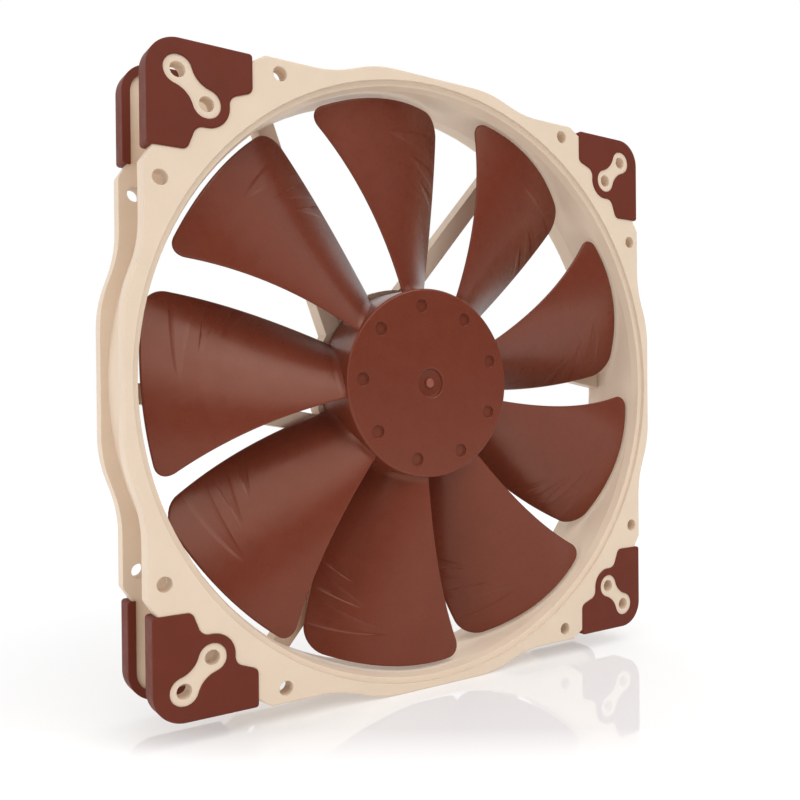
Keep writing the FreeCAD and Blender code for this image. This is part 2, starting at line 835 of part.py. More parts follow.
def rotor_pieces():
    yoke_front = "hub_face + hub_wall"
    yoke = turned_body("rotor_yoke", [
        ("hub_boss", yoke_front), ("yoke_radius", yoke_front), ("yoke_radius", "yoke_rear"),
        ("yoke_radius - yoke_wall", "yoke_rear"),
        ("yoke_radius - yoke_wall", "hub_face + hub_wall + yoke_wall"),
        ("hub_boss", "hub_face + hub_wall + yoke_wall")])
    magnet = tube("rotor_magnet", "magnet_inner", "yoke_radius - yoke_wall",
                  "magnet_front", "magnet_rear")
    shaft = turned_body("shaft", [
        ("0", "shaft_front"), ("shaft_radius", "shaft_front"), ("shaft_radius", "groove_front"),
        ("groove_radius", "groove_front"), ("groove_radius", "groove_rear"),
        ("shaft_radius", "groove_rear"), ("shaft_radius", "shaft_rear"), ("0", "shaft_rear")])
    insert = turned_body("shaft_insert", [
        ("shaft_radius", "shaft_front"), ("insert_radius", "shaft_front"),
        ("insert_radius", "insert_rear"), ("shaft_radius", "insert_rear")])
    slinger = tube("slinger_washer", "shaft_radius", "slinger_radius",
                   "insert_rear", "slinger_rear")
    clip = tube("retaining_clip", "groove_radius", "clip_radius", "clip_front", "clip_rear")
    slot = face_sketch(clip, "clip_slot_outline", "clip_front")
    rectangle(slot, "0", "-1*clip_slot", "2*clip_radius", "clip_slot")
    pocket(clip, "clip_slot", slot, "clip_rear - clip_front")
    return [yoke, magnet, shaft, insert, slinger, clip]


def bearing_pieces():
    shell = tube("bearing_shell", "bearing_wall", "boss_bore", "boss_front", "boss_bottom")
    sleeve = tube("bearing_sleeve", "shaft_radius + running_gap", "bearing_wall",
                  "seal_rear", "bearing_rear")
    seal = tube("oil_seal", "seal_bore", "bearing_wall", "boss_front", "seal_rear")
    thrust = turned_body("thrust_pad", [
        ("0", "thrust_front"), ("bearing_wall", "thrust_front"),
        ("bearing_wall", "thrust_rear"), ("0", "thrust_rear")])
    magnet = turned_body("axial_magnet", [
        ("0", "thrust_rear"), ("bearing_wall", "thrust_rear"),
        ("bearing_wall", "boss_bottom"), ("0", "boss_bottom")])
    return [shell, sleeve, seal, thrust, magnet]


# ---------------------------------------------------------------- stator


def pole_turns():
    count = int(size("pole_count"))
    return [360 * i / count for i in range(count)]


def about_axis(turn):
    """A placement turned from +X towards +Z about the fan's axis."""
    return FreeCAD.Rotation(FreeCAD.Vector(0, 1, 0), -turn)


def disc(name, radius, front, length, angle=360.0, start=0.0):
    """A cylinder, or a slice of one, that runs towards +Y from front."""
    solid = document.addObject("Part::Cylinder", name)
    bind(solid, "Radius", radius)
    bind(solid, "Height", length)
    solid.Angle = angle
    lay_down = FreeCAD.Rotation(FreeCAD.Vector(1, 0, 0), -90)
    solid.Placement = FreeCAD.Placement(FreeCAD.Vector(), about_axis(start) * lay_down)
    bind(solid, "Placement.Base.y", front)
    return solid


def block(name, turn, low, width, front, tall, length):
    """A box that runs outwards from radius low in the direction turn, centred on that line."""
    solid = document.addObject("Part::Box", name)
    bind(solid, "Length", length)
    bind(solid, "Width", tall)
    bind(solid, "Height", width)
    rotation = about_axis(turn)
    corner = FreeCAD.Vector(value(low), value(front), -value(width) / 2)
    solid.Placement = FreeCAD.Placement(rotation.multVec(corner), rotation)
    return solid


def combine(kind, name, pieces):
    whole = document.addObject(f"Part::{kind}", name)
    whole.Label = name
    if kind == "Cut":
        whole.Base, whole.Tool = pieces
    elif kind == "Compound":
        whole.Links = pieces
    else:
        whole.Shapes = pieces
    document.recompute()
    return whole


def sector_ring(name, inner, outer, front, length, angle, turn):
    """A slice of a ring, centred on the direction turn."""
    start = turn + angle / 2
    slice_outer = disc(f"{name}_outer", outer, front, length, angle, start)
    slice_inner = disc(f"{name}_inner", inner, front, length)
    return combine("Cut", name, [slice_outer, slice_inner])


def spider(name, ring, arm_width, front, length, wall, wall_front, wall_length, angle):
    """A ring with an arm to each pole, each arm ending in a curved wall (inner, outer radius)."""
    pieces = [disc(f"{name}_ring", ring, front, length)]
    wall_inner, wall_outer = wall
    for i, turn in enumerate(pole_turns()):
        pieces.append(block(f"{name}_arm_{i}", turn, "0", arm_width, front, length,
                            f"{wall_inner} + 0.5"))
        pieces.append(sector_ring(f"{name}_wall_{i}", wall_inner, wall_outer, wall_front,
                                  wall_length, size(angle), turn))
    solid = combine("MultiFuse", f"{name}_solid", pieces)
    bore = disc(f"{name}_bore", "boss_radius", front, length)
    return combine("Cut", name, [solid, bore])


def coil(name, turn):
    """One coil round a stator arm."""
    outer_half = "coil_hole_half + coil_build"
    front = "stator_front - former_thick - coil_build"
    tall = "stator_stack + 2*former_thick + 2*coil_build"
    length = "coil_outer - coil_inner"
    outside = block(f"{name}_outside", turn, "coil_inner", "2*coil_hole_half + 2*coil_build",
                    front, tall, length)
    document.recompute()
    radial = about_axis(turn).multVec(FreeCAD.Vector(1, 0, 0))
    rounded = document.addObject("Part::Fillet", f"{name}_rounded")
    rounded.Base = outside
    radius = value("coil_round")
    numbered = enumerate(outside.Shape.Edges, start=1)
    rounded.Edges = [(i, radius, radius) for i, edge in numbered if runs_along(edge, radial)]
    hole = block(f"{name}_hole", turn, "0", "2*coil_hole_half", "stator_front - former_thick",
                 "stator_stack + 2*former_thick", "2*coil_outer")
    document.recompute()
    return combine("Cut", name, [rounded, hole])


def runs_along(edge, direction):
    first, last = (vertex.Point for vertex in edge.Vertexes)
    return abs((last - first).normalize().dot(direction)) > 0.99


def stator_pieces():
    core = spider("stator_core", "core_ring", "arm_width", "stator_front", "stator_stack",
                  ("shoe_inner", "stator_radius"), "stator_front", "stator_stack", "shoe_angle")
    wall = ("former_wall_inner", "former_wall_outer")
    front = spider("insulator_front", "former_ring", "former_arm_width",
                   "stator_front - former_thick", "former_thick", wall,
                   "stator_front - former_wall_tall", "former_wall_tall", "former_wall_angle")
    rear = spider("insulator_rear", "former_ring", "former_arm_width", "stator_rear",
                  "former_thick", wall, "stator_rear", "former_wall_tall", "former_wall_angle")
    coils = [coil(f"coil_{i}", turn) for i, turn in enumerate(pole_turns())]
    windings = combine("Compound", "coil_windings", coils)
    return [core, front, rear, windings]


# ---------------------------------------------------------------- circuit board


def pin_places():
    """The terminal pins' centres, as (X, Z), one beside each pole."""
    ring = size("pin_ring")
    angles = [math.radians(turn + size("pin_turn")) for turn in pole_turns()]
    return [(ring * math.cos(angle), ring * math.sin(angle)) for angle in angles]


def circuit_board():
    board = tube("circuit_board", "board_bore", "board_radius", "board_front", "board_rear")
    spot = face_sketch(board, "pin_hole_circle", "board_front", "pin_turn")
    circle(spot, "pin_ring", "0", "pin_hole")
    hole = pocket(board, "pin_hole", spot, "board_rear - board_front")
    around_axis(board, "pin_holes", [hole], "pole_count")
    return board


def board_pieces():
    board = circuit_board()
    wall_rear = "stator_rear + former_wall_tall"
    pins = []
    for i, (across, up) in enumerate(pin_places()):
        pin = disc(f"pin_{i}", "pin_radius", wall_rear, "pin_rear - stator_rear - former_wall_tall")
        pin.Placement.Base = FreeCAD.Vector(across, value(wall_rear), up)
        pins.append(pin)
    terminal_pins = combine("Compound", "terminal_pins", pins)
    sensor = block("hall_sensor", 45, "sensor_ring - sensor_length", "sensor_width",
                   "board_front - sensor_tall", "sensor_tall", "sensor_length")
    chip = block("driver_chip", 135, "chip_ring - 0.5*chip_length", "chip_width", "board_rear",
                 "chip_tall", "chip_length")
    capacitor = disc("capacitor", "capacitor_radius", "board_rear", "capacitor_tall")
    ring = size("capacitor_ring")
    capacitor.Placement.Base = FreeCAD.Vector(0, size("board_rear"), ring)
    resistors = []
    for i in range(int(size("resistor_count"))):
        resistors.append(block(f"resistor_{i}", 195 + 16 * i, "resistor_ring", "resistor_width",
                               "board_rear", "resistor_tall", "resistor_length"))
    resistor_group = combine("Compound", "resistors", resistors)
    joints = []
    for i in range(int(size("solder_count"))):
        angle = math.radians(296 + 7 * i)
        joint = document.addObject("Part::Cone", f"solder_{i}")
        bind(joint, "Radius1", "solder_radius")
        bind(joint, "Radius2", "solder_tip")
        bind(joint, "Height", "solder_tall")
        ring = size("solder_ring")
        place = FreeCAD.Vector(ring * math.cos(angle), size("board_rear"), ring * math.sin(angle))
        joint.Placement = FreeCAD.Placement(place, FreeCAD.Rotation(FreeCAD.Vector(1, 0, 0), -90))
        joints.append(joint)
    solder_group = combine("Compound", "solder_joints", joints)
    label = turned_body("rear_label", [
        ("0", "label_seat"), ("label_radius", "label_seat"),
        ("label_radius", "label_seat + label_thick"), ("0", "label_seat + label_thick")])
    return [board, terminal_pins, sensor, chip, capacitor, resistor_group, solder_group, label]


# ---------------------------------------------------------------- checks and files


def check(nodes):
    for thing in document.Objects:
        for state in thing.State:
            if state in ("Invalid", "Error"):
                raise RuntimeError(f"{thing.Label} is {state}")
    for node in nodes:
        if node.Shape.isNull() or not node.Shape.isValid():
            raise RuntimeError(f"{node.Label} has no valid shape")
        if node.Shape.Volume <= 0:
            raise RuntimeError(f"{node.Label} has no volume")


def export(nodes):
    os.makedirs("parts", exist_ok=True)
    for node in nodes:
        node.Shape.exportStep(f"parts/{node.Label}.step")
        print(f"{node.Label}: {node.Shape.Volume:.1f} mm3, {len(node.Shape.Solids)} solid(s)")


fill_sheet()
pads = corner_pads()
nodes = [fan_frame(pads)] + pads
nodes.append(impeller())
nodes += rotor_pieces()
nodes += bearing_pieces()
nodes += stator_pieces()
nodes += board_pieces()
document.recompute()
check(nodes)
export(nodes)
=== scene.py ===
import bpy
import bmesh
import json
import math
from mathutils import Matrix, Vector


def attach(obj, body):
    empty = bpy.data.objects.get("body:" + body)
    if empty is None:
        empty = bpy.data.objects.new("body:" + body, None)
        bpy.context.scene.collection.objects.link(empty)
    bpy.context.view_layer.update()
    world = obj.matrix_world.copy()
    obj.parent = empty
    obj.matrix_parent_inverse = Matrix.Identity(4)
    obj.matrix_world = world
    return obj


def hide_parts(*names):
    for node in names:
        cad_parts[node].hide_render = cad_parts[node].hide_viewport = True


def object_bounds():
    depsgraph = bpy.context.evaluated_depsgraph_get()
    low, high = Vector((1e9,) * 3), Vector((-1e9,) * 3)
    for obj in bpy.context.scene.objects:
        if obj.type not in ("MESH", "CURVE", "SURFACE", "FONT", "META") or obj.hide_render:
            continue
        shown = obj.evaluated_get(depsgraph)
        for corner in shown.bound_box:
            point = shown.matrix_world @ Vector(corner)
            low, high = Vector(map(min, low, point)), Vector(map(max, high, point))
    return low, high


# The looks of a 200 mm case fan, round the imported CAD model.
#
# Metres. The fan's axis is Y and its intake faces -Y; +Z is up. Angles are counted from +X
# towards +Z, which is the way the rotor turns. Sizes of moulded shapes are given in millimetres
# and turned into metres by MM.

MM = 0.001

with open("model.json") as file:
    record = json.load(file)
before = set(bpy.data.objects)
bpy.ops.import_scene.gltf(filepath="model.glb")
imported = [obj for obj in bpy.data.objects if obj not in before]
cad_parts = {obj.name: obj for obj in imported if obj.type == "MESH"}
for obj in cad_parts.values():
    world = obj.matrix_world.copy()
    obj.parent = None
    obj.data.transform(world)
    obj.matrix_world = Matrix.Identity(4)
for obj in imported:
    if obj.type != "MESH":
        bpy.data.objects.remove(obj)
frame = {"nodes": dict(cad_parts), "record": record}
cad_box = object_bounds()
nodes = frame["nodes"]
scene = bpy.context.scene


# ---------------------------------------------------------------- camera, light and floor

CAMERA_PLACE = (-0.1630, -0.2556, -0.0058)
CAMERA_TURN = (89.541, 0.488, -35.890)
CAMERA_LENS = 39.66
CAMERA_SHIFT = (-0.0829, 0.0090)
FLOOR_LEVEL = cad_box[0][2]
# brightness of the room in front of the fan, at heights from -1, straight down, to 1, straight up
ROOM_LIGHT = [(0.08, 0.22), (0.20, 0.0), (0.30, 0.0), (0.38, 0.65), (0.46, 1.15), (0.70, 1.15),
              (0.85, 0.75)]
# share of the way towards +Y at which the backdrop is fully white
BACKDROP_FULL = 0.5
FLOOR_REACH = 1.2
FLOOR_GREY = 0.62
# how strongly the floor glows, which keeps its far edge as white as the backdrop
GLOW = 0.43
# share of the floor's light that is a mirror image, and the distances along a direction from which
# it is there at all and in full; it dies out again between two distances from the fan
POLISH = 0.24
POLISH_DIRECTION = (0.60, 0.80, 0.0)
POLISH_START = -0.076
POLISH_FULL = -0.050
POLISH_REACH = (0.20, 0.45)
POLISH_ROUGHNESS = 0.04
# name, place, width and watts of each soft box; all of them face the fan's centre
LAMPS = [
    ("soft_box", (0.25, -1.3, 1.25), 1.2, 7.1),
    ("top_light", (0.5, -0.8, 1.6), 1.0, 5.4),
    ("side_light", (-1.6, -0.5, 0.5), 1.0, 6.3),
]


def add_camera():
    data = bpy.data.cameras.new("camera")
    data.sensor_width = 36.0
    data.lens = CAMERA_LENS
    data.shift_x, data.shift_y = CAMERA_SHIFT
    data.clip_start = 0.01
    data.dof.use_dof = False
    camera = bpy.data.objects.new("camera", data)
    camera.location = CAMERA_PLACE
    camera.rotation_euler = [math.radians(angle) for angle in CAMERA_TURN]
    scene.collection.objects.link(camera)
    scene.camera = camera


def add_lamp(name, place, across, power):
    """A square soft box that faces the fan's centre."""
    data = bpy.data.lights.new(name, "AREA")
    data.shape = "SQUARE"
    data.size = across
    data.energy = power
    lamp = bpy.data.objects.new(name, data)
    lamp.location = place
    lamp.rotation_euler = (-Vector(place)).to_track_quat("-Z", "Y").to_euler()
    scene.collection.objects.link(lamp)


def add_world():
    """A white backdrop behind the fan, and before it a room that is dark below and bright overhead.

    The camera itself sees white in every direction.
    """
    world = bpy.data.worlds.new("studio")
    world.use_nodes = True
    tree = world.node_tree
    output = tree.nodes["World Output"]
    backdrop = tree.nodes["Background"]
    backdrop.inputs["Color"].default_value = (1.0, 1.0, 1.0, 1.0)
    room = tree.nodes.new("ShaderNodeBackground")
    direction = tree.nodes.new("ShaderNodeTexCoord").outputs["Generated"]
    height = tree.nodes.new("ShaderNodeSeparateXYZ")
    share = tree.nodes.new("ShaderNodeMapRange")
    share.inputs["From Min"].default_value = -1.0
    fade = tree.nodes.new("ShaderNodeValToRGB")
    stops = fade.color_ramp.elements
    while len(stops) < len(ROOM_LIGHT):
        stops.new(0.5)
    for stop, (level, brightness) in zip(stops, ROOM_LIGHT):
        stop.position = (level + 1.0) / 2.0
        stop.color = (brightness, brightness, brightness, 1.0)
    tree.links.new(direction, height.inputs["Vector"])
    tree.links.new(height.outputs["Z"], share.inputs["Value"])
    tree.links.new(share.outputs["Result"], fade.inputs["Fac"])
    behind = tree.nodes.new("ShaderNodeMapRange")
    behind.interpolation_type = "SMOOTHSTEP"
    behind.inputs["From Max"].default_value = BACKDROP_FULL
    tree.links.new(height.outputs["Y"], behind.inputs["Value"])
    around_fan = tree.nodes.new("ShaderNodeMix")
    around_fan.data_type = "RGBA"
    around_fan.inputs[7].default_value = (1.0, 1.0, 1.0, 1.0)
    tree.links.new(behind.outputs["Result"], around_fan.inputs["Factor"])
    tree.links.new(fade.outputs["Color"], around_fan.inputs[6])
    tree.links.new(around_fan.outputs[2], room.inputs["Color"])
    choice = tree.nodes.new("ShaderNodeMixShader")
    seen = tree.nodes.new("ShaderNodeLightPath").outputs["Is Camera Ray"]
    tree.links.new(seen, choice.inputs["Fac"])
    tree.links.new(room.outputs["Background"], choice.inputs[1])
    tree.links.new(backdrop.outputs["Background"], choice.inputs[2])
    tree.links.new(choice.outputs["Shader"], output.inputs["Surface"])
    scene.world = world


def add_floor():
    """Plain pale card that glows a little.

    Its faint polish dies out towards the front left and with distance from the fan.
    """
    mesh = bpy.data.meshes.new("floor")
    corners = [(-1.0, -1.0), (1.0, -1.0), (1.0, 1.0), (-1.0, 1.0)]
    mesh.from_pydata([(x * FLOOR_REACH, y * FLOOR_REACH, FLOOR_LEVEL) for x, y in corners], [],
                     [(0, 1, 2, 3)])
    floor = bpy.data.objects.new("floor", mesh)
    scene.collection.objects.link(floor)
    material = bpy.data.materials.new("studio_floor")
    material.use_nodes = True
    tree = material.node_tree
    matt = tree.nodes["Principled BSDF"]
    matt.inputs["Base Color"].default_value = (FLOOR_GREY, FLOOR_GREY, FLOOR_GREY, 1.0)
    matt.inputs["Specular IOR Level"].default_value = 0.0
    matt.inputs["Emission Color"].default_value = (1.0, 1.0, 1.0, 1.0)
    matt.inputs["Emission Strength"].default_value = GLOW
    sheen = tree.nodes.new("ShaderNodeBsdfGlossy")
    sheen.inputs["Roughness"].default_value = POLISH_ROUGHNESS
    place = tree.nodes.new("ShaderNodeNewGeometry").outputs["Position"]
    distance_back = tree.nodes.new("ShaderNodeVectorMath")
    distance_back.operation = "DOT_PRODUCT"
    distance_back.inputs[1].default_value = POLISH_DIRECTION
    tree.links.new(place, distance_back.inputs[0])
    polish = tree.nodes.new("ShaderNodeMapRange")
    polish.inputs["From Min"].default_value = POLISH_START
    polish.inputs["From Max"].default_value = POLISH_FULL
    tree.links.new(distance_back.outputs["Value"], polish.inputs["Value"])
    distance = tree.nodes.new("ShaderNodeVectorMath")
    distance.operation = "LENGTH"
    tree.links.new(place, distance.inputs[0])
    near_fan = tree.nodes.new("ShaderNodeMapRange")
    full_until, gone_from = POLISH_REACH
    near_fan.inputs["From Min"].default_value = full_until
    near_fan.inputs["From Max"].default_value = gone_from
    near_fan.inputs["To Min"].default_value = POLISH
    near_fan.inputs["To Max"].default_value = 0.0
    tree.links.new(distance.outputs["Value"], near_fan.inputs["Value"])
    mirror = tree.nodes.new("ShaderNodeMath")
    mirror.operation = "MULTIPLY"
    tree.links.new(polish.outputs["Result"], mirror.inputs[0])
    tree.links.new(near_fan.outputs["Result"], mirror.inputs[1])
    mix = tree.nodes.new("ShaderNodeMixShader")
    tree.links.new(mirror.outputs["Value"], mix.inputs["Fac"])
    tree.links.new(matt.outputs["BSDF"], mix.inputs[1])
    tree.links.new(sheen.outputs["BSDF"], mix.inputs[2])
    tree.links.new(mix.outputs["Shader"], tree.nodes["Material Output"].inputs["Surface"])
    mesh.materials.append(material)


# ---------------------------------------------------------------- materials

# tint of the impeller's sheen
WARM_SHEEN = (1.0, 0.72, 0.58)
# the paler spot painted on the impeller's axis, over the pip
AXIS_SPOT_RADIUS = 1.55
AXIS_SPOT_COLOUR = (0.27, 0.085, 0.058)
# the coloured ring on the rear label: its radii, and how far its edges are softened
LABEL_RING_INNER = 25.6
LABEL_RING_OUTER = 27.4
LABEL_RING_SOFT = 0.1


class Surface:
    """A procedural material: one Principled shader and the nodes that feed it."""

    def __init__(self, name):
        self.material = bpy.data.materials.new(name)
        self.material.use_nodes = True
        self.tree = self.material.node_tree
        self.shader = self.tree.nodes["Principled BSDF"]
        self.place = self.node("ShaderNodeTexCoord").outputs["Object"]
        self.normal = None

    def node(self, kind, inputs=None, **settings):
        made = self.tree.nodes.new(kind)
        for name, setting in settings.items():
            setattr(made, name, setting)
        for name, value in (inputs or {}).items():
            if isinstance(value, bpy.types.NodeSocket):
                self.tree.links.new(value, made.inputs[name])
            else:
                made.inputs[name].default_value = value
        return made

    def set(self, **values):
        """Uniform values, set on the shader itself."""
        for name, value in values.items():
            self.shader.inputs[name.replace("_", " ")].default_value = value

    def noise(self, grain, detail=3.0, stretch=(1.0, 1.0, 1.0)):
        """Noise whose features are about grain millimetres across, drawn out by stretch."""
        mapping = self.node("ShaderNodeMapping", {"Vector": self.place})
        mapping.inputs["Scale"].default_value = [1.0 / share for share in stretch]
        made = self.node("ShaderNodeTexNoise", {
            "Vector": mapping.outputs["Vector"], "Scale": 1.0 / (grain * MM), "Detail": detail})
        return made.outputs["Fac"]

    def cells(self, grain):
        """Distance to the nearest of a scatter of points about grain millimetres apart."""
        made = self.node("ShaderNodeTexVoronoi", {
            "Vector": self.place, "Scale": 1.0 / (grain * MM)})
        return made.outputs["Distance"]

    def remap(self, value, low, high, to_low=0.0, to_high=1.0):
        made = self.node("ShaderNodeMapRange", {
            "Value": value, "From Min": low, "From Max": high, "To Min": to_low, "To Max": to_high})
        return made.outputs["Result"]

    def calculate(self, operation, first, second=0.0):
        made = self.node("ShaderNodeMath", operation=operation)
        for socket, value in zip(made.inputs, (first, second)):
            if isinstance(value, bpy.types.NodeSocket):
                self.tree.links.new(value, socket)
            else:
                socket.default_value = value
        return made.outputs["Value"]

    def ring_distance(self):
        """Distance from the fan's axis."""
        parts = self.node("ShaderNodeSeparateXYZ", {"Vector": self.place}).outputs
        across = self.calculate("MULTIPLY", parts["X"], parts["X"])
        up = self.calculate("MULTIPLY", parts["Z"], parts["Z"])
        return self.calculate("SQRT", self.calculate("ADD", across, up))

    def depth(self):
        return self.node("ShaderNodeSeparateXYZ", {"Vector": self.place}).outputs["Y"]

    def bands(self, value, pitch):
        """Waves of the given pitch in millimetres along a distance, from 0 to 1."""
        turns = self.calculate("MULTIPLY", value, math.tau / (pitch * MM))
        return self.remap(self.calculate("SINE", turns), -1.0, 1.0)

    def blend(self, factor, first, second):
        made = self.node("ShaderNodeMix", data_type="RGBA")
        self.tree.links.new(factor, made.inputs["Factor"])
        for socket, colour in ((made.inputs[6], first), (made.inputs[7], second)):
            if isinstance(colour, bpy.types.NodeSocket):
                self.tree.links.new(colour, socket)
            else:
                socket.default_value = (*colour, 1.0)
        return made.outputs[2]

    def edges(self, radius, low=0.80, high=0.995):
        """1 on sharp edges and 0 on flat faces, found by comparing rounded and true normals."""
        rounded = self.node("ShaderNodeBevel", {"Radius": radius * MM}, samples=4)
        true_normal = self.node("ShaderNodeNewGeometry").outputs["Normal"]
        alike = self.node("ShaderNodeVectorMath", operation="DOT_PRODUCT")
        self.tree.links.new(rounded.outputs["Normal"], alike.inputs[0])
        self.tree.links.new(true_normal, alike.inputs[1])
        return self.remap(alike.outputs["Value"], high, low)

    def soften(self, radius):
        """Rounds every sharp edge in the light, by radius millimetres."""
        self.normal = self.node("ShaderNodeBevel", {"Radius": radius * MM},
                                samples=4).outputs["Normal"]

    def bump(self, height, depth):
        """Raises the surface by up to depth millimetres where height is 1."""
        inputs = {"Height": height, "Distance": depth * MM, "Strength": 1.0}
        if self.normal is not None:
            inputs["Normal"] = self.normal
        self.normal = self.node("ShaderNodeBump", inputs).outputs["Normal"]

    def finish(self, colour, roughness):
        self.tree.links.new(colour, self.shader.inputs["Base Color"])
        self.tree.links.new(roughness, self.shader.inputs["Roughness"])
        if self.normal is not None:
            self.tree.links.new(self.normal, self.shader.inputs["Normal"])
        return self.material


def shade(colour, factor):
    return tuple(min(part * factor, 1.0) for part in colour)


def moulded_plastic(name, colour, roughness, edge_radius, grain_depth, mottle, edge_highlight=1.12,
                    specular=0.20, tint=(1.0, 1.0, 1.0), axis_spot_radius=0.0):
    """Satin moulded plastic: spark-eroded grain, faint mottle and a painted highlight along its edges.
    """
    surface = Surface(name)
    surface.set(Specular_IOR_Level=specular, Specular_Tint=(*tint, 1.0))
    cloud = surface.noise(9.0, 4.0)
    grain = surface.noise(0.22, 2.0)
    base = surface.blend(surface.remap(cloud, 0.3, 0.7), shade(colour, 1.0 - mottle),
                         shade(colour, 1.0 + mottle))
    fleck = surface.blend(surface.remap(grain, 0.35, 0.65, 0.0, 0.25), base, shade(colour, 0.86))
    # edges painted lighter: a painted highlight along them
    edge = surface.calculate("MULTIPLY", surface.edges(edge_radius * 1.4),
                             surface.remap(surface.noise(3.0, 3.0), 0.35, 0.65, 0.25, 0.9))
    final = surface.blend(edge, fleck, shade(colour, edge_highlight))
    # a paler spot painted round the axis, over the pip
    if axis_spot_radius:
        axis_spot = surface.remap(surface.ring_distance(), 0.9 * axis_spot_radius * MM, axis_spot_radius * MM,
                             1.0, 0.0)
        final = surface.blend(axis_spot, final, AXIS_SPOT_COLOUR)
    low, high = roughness
    gloss = surface.remap(surface.calculate("ADD", grain, surface.noise(5.0, 3.0)), 0.7, 1.3, low, high)
    surface.soften(edge_radius)
    surface.bump(grain, grain_depth)
    surface.bump(surface.noise(14.0, 1.0), 0.02)
    return surface.finish(final, gloss)


def turned_metal(name, colour, roughness, pitch, groove, oxide=0.85):
    """Metal turned on a lathe: fine rings about the axis and a thin uneven oxide."""
    surface = Surface(name)
    surface.set(Metallic=1.0)
    length = surface.calculate("ADD", surface.ring_distance(), surface.depth())
    rings = surface.bands(surface.calculate("ADD", length, surface.calculate(
        "MULTIPLY", surface.noise(2.0, 2.0), 0.05 * MM)), pitch)
    scratch = surface.noise(0.15, 3.0, stretch=(1.0, 0.15, 1.0))
    stain = surface.remap(surface.noise(4.0, 4.0), 0.4, 0.7)
    base = surface.blend(stain, colour, shade(colour, oxide))
    final = surface.blend(surface.remap(scratch, 0.45, 0.75, 0.0, 0.5), base, shade(colour, 1.15))
    low, high = roughness
    gloss = surface.remap(surface.calculate("ADD", scratch, stain), 0.4, 1.4, low, high)
    surface.soften(0.1)
    surface.bump(rings, groove)
    surface.bump(scratch, groove * 0.5)
    return surface.finish(final, gloss)


def speckled(name, colour, light, grain, roughness, depth, metallic=0.0):
    """A grainy body of two tones with small pits."""
    surface = Surface(name)
    surface.set(Metallic=metallic)
    specks = surface.remap(surface.cells(grain), 0.15, 0.6)
    dust = surface.noise(grain * 8.0, 4.0)
    base = surface.blend(specks, light, colour)
    final = surface.blend(surface.remap(dust, 0.4, 0.7, 0.0, 0.6), base, shade(colour, 0.7))
    low, high = roughness
    gloss = surface.remap(dust, 0.3, 0.7, low, high)
    surface.soften(0.15)
    surface.bump(specks, depth)
    return surface.finish(final, gloss)


def laminated_steel(name, colour):
    """A stack of punched sheets 0.5 mm thick, with bright burrs and dark joints."""
    surface = Surface(name)
    surface.set(Metallic=1.0)
    sheets = surface.bands(surface.depth(), 0.5)
    joint = surface.remap(sheets, 0.0, 0.25, 1.0, 0.0)
    varnish = surface.noise(3.0, 4.0)
    base = surface.blend(surface.remap(varnish, 0.35, 0.65), colour, shade(colour, 0.72))
    final = surface.blend(joint, base, shade(colour, 0.25))
    gloss = surface.remap(varnish, 0.3, 0.7, 0.32, 0.55)
    surface.soften(0.1)
    surface.bump(surface.remap(sheets, 0.0, 0.4), 0.05)
    return surface.finish(final, gloss)


def wound_wire(name, colour):
    """Turns of enamelled wire laid side by side along each stator arm."""
    surface = Surface(name)
    surface.set(Metallic=1.0, Coat_Weight=0.8, Coat_Roughness=0.12)
    parts = surface.node("ShaderNodeSeparateXYZ", {"Vector": surface.place}).outputs
    across = surface.calculate("ABSOLUTE", parts["X"])
    up = surface.calculate("ABSOLUTE", parts["Z"])
    out = surface.calculate("MAXIMUM", across, up)
    wander = surface.calculate("MULTIPLY", surface.noise(3.0, 2.0), 0.3 * MM)
    turns = surface.bands(surface.calculate("ADD", out, wander), 0.38)
    base = surface.blend(surface.remap(surface.noise(1.5, 3.0), 0.35, 0.65), colour,
                         shade(colour, 0.75))
    # the grooves between turns painted dark: painted shade in the creases
    final = surface.blend(surface.remap(turns, 0.0, 0.35, 1.0, 0.0), base, shade(colour, 0.18))
    gloss = surface.remap(surface.noise(1.0, 3.0), 0.3, 0.7, 0.24, 0.4)
    surface.bump(turns, 0.12)
    return surface.finish(final, gloss)


def board_laminate(name, colour):
    """Solder mask over glass weave, with copper runs that show through as paler rings."""
    surface = Surface(name)
    surface.set(Coat_Weight=0.5, Coat_Roughness=0.15)
    parts = surface.node("ShaderNodeSeparateXYZ", {"Vector": surface.place}).outputs
    warp = surface.bands(parts["X"], 0.45)
    weft = surface.bands(parts["Z"], 0.45)
    weave = surface.calculate("MULTIPLY", warp, weft)
    runs = surface.remap(surface.bands(surface.ring_distance(), 3.1), 0.72, 0.80)
    base = surface.blend(weave, shade(colour, 0.85), shade(colour, 1.15))
    final = surface.blend(surface.calculate("MULTIPLY", runs, 0.7), base,
                          (colour[0] + 0.03, colour[1] * 1.7, colour[2] + 0.03))
    gloss = surface.remap(surface.noise(2.0, 3.0), 0.3, 0.7, 0.25, 0.42)
    surface.soften(0.1)
    surface.bump(runs, 0.04)
    surface.bump(weave, 0.01)
    return surface.finish(final, gloss)


def blank_film(name, colour, ring_colour):
    """A blank label: satin film with a plain coloured ring near its edge."""
    surface = Surface(name)
    distance = surface.ring_distance()
    inside = surface.remap(distance, LABEL_RING_INNER * MM, (LABEL_RING_INNER + LABEL_RING_SOFT) * MM)
    outside = surface.remap(distance, (LABEL_RING_OUTER - LABEL_RING_SOFT) * MM,
                            LABEL_RING_OUTER * MM, 1.0, 0.0)
    ring = surface.calculate("MULTIPLY", inside, outside)
    fibre = surface.noise(0.6, 4.0)
    base = surface.blend(surface.remap(fibre, 0.3, 0.7), shade(colour, 0.96), shade(colour, 1.04))
    final = surface.blend(ring, base, ring_colour)
    gloss = surface.remap(surface.noise(6.0, 3.0), 0.3, 0.7, 0.30, 0.45)
    surface.bump(fibre, 0.004)
    surface.bump(surface.noise(9.0, 1.0), 0.05)
    return surface.finish(final, gloss)


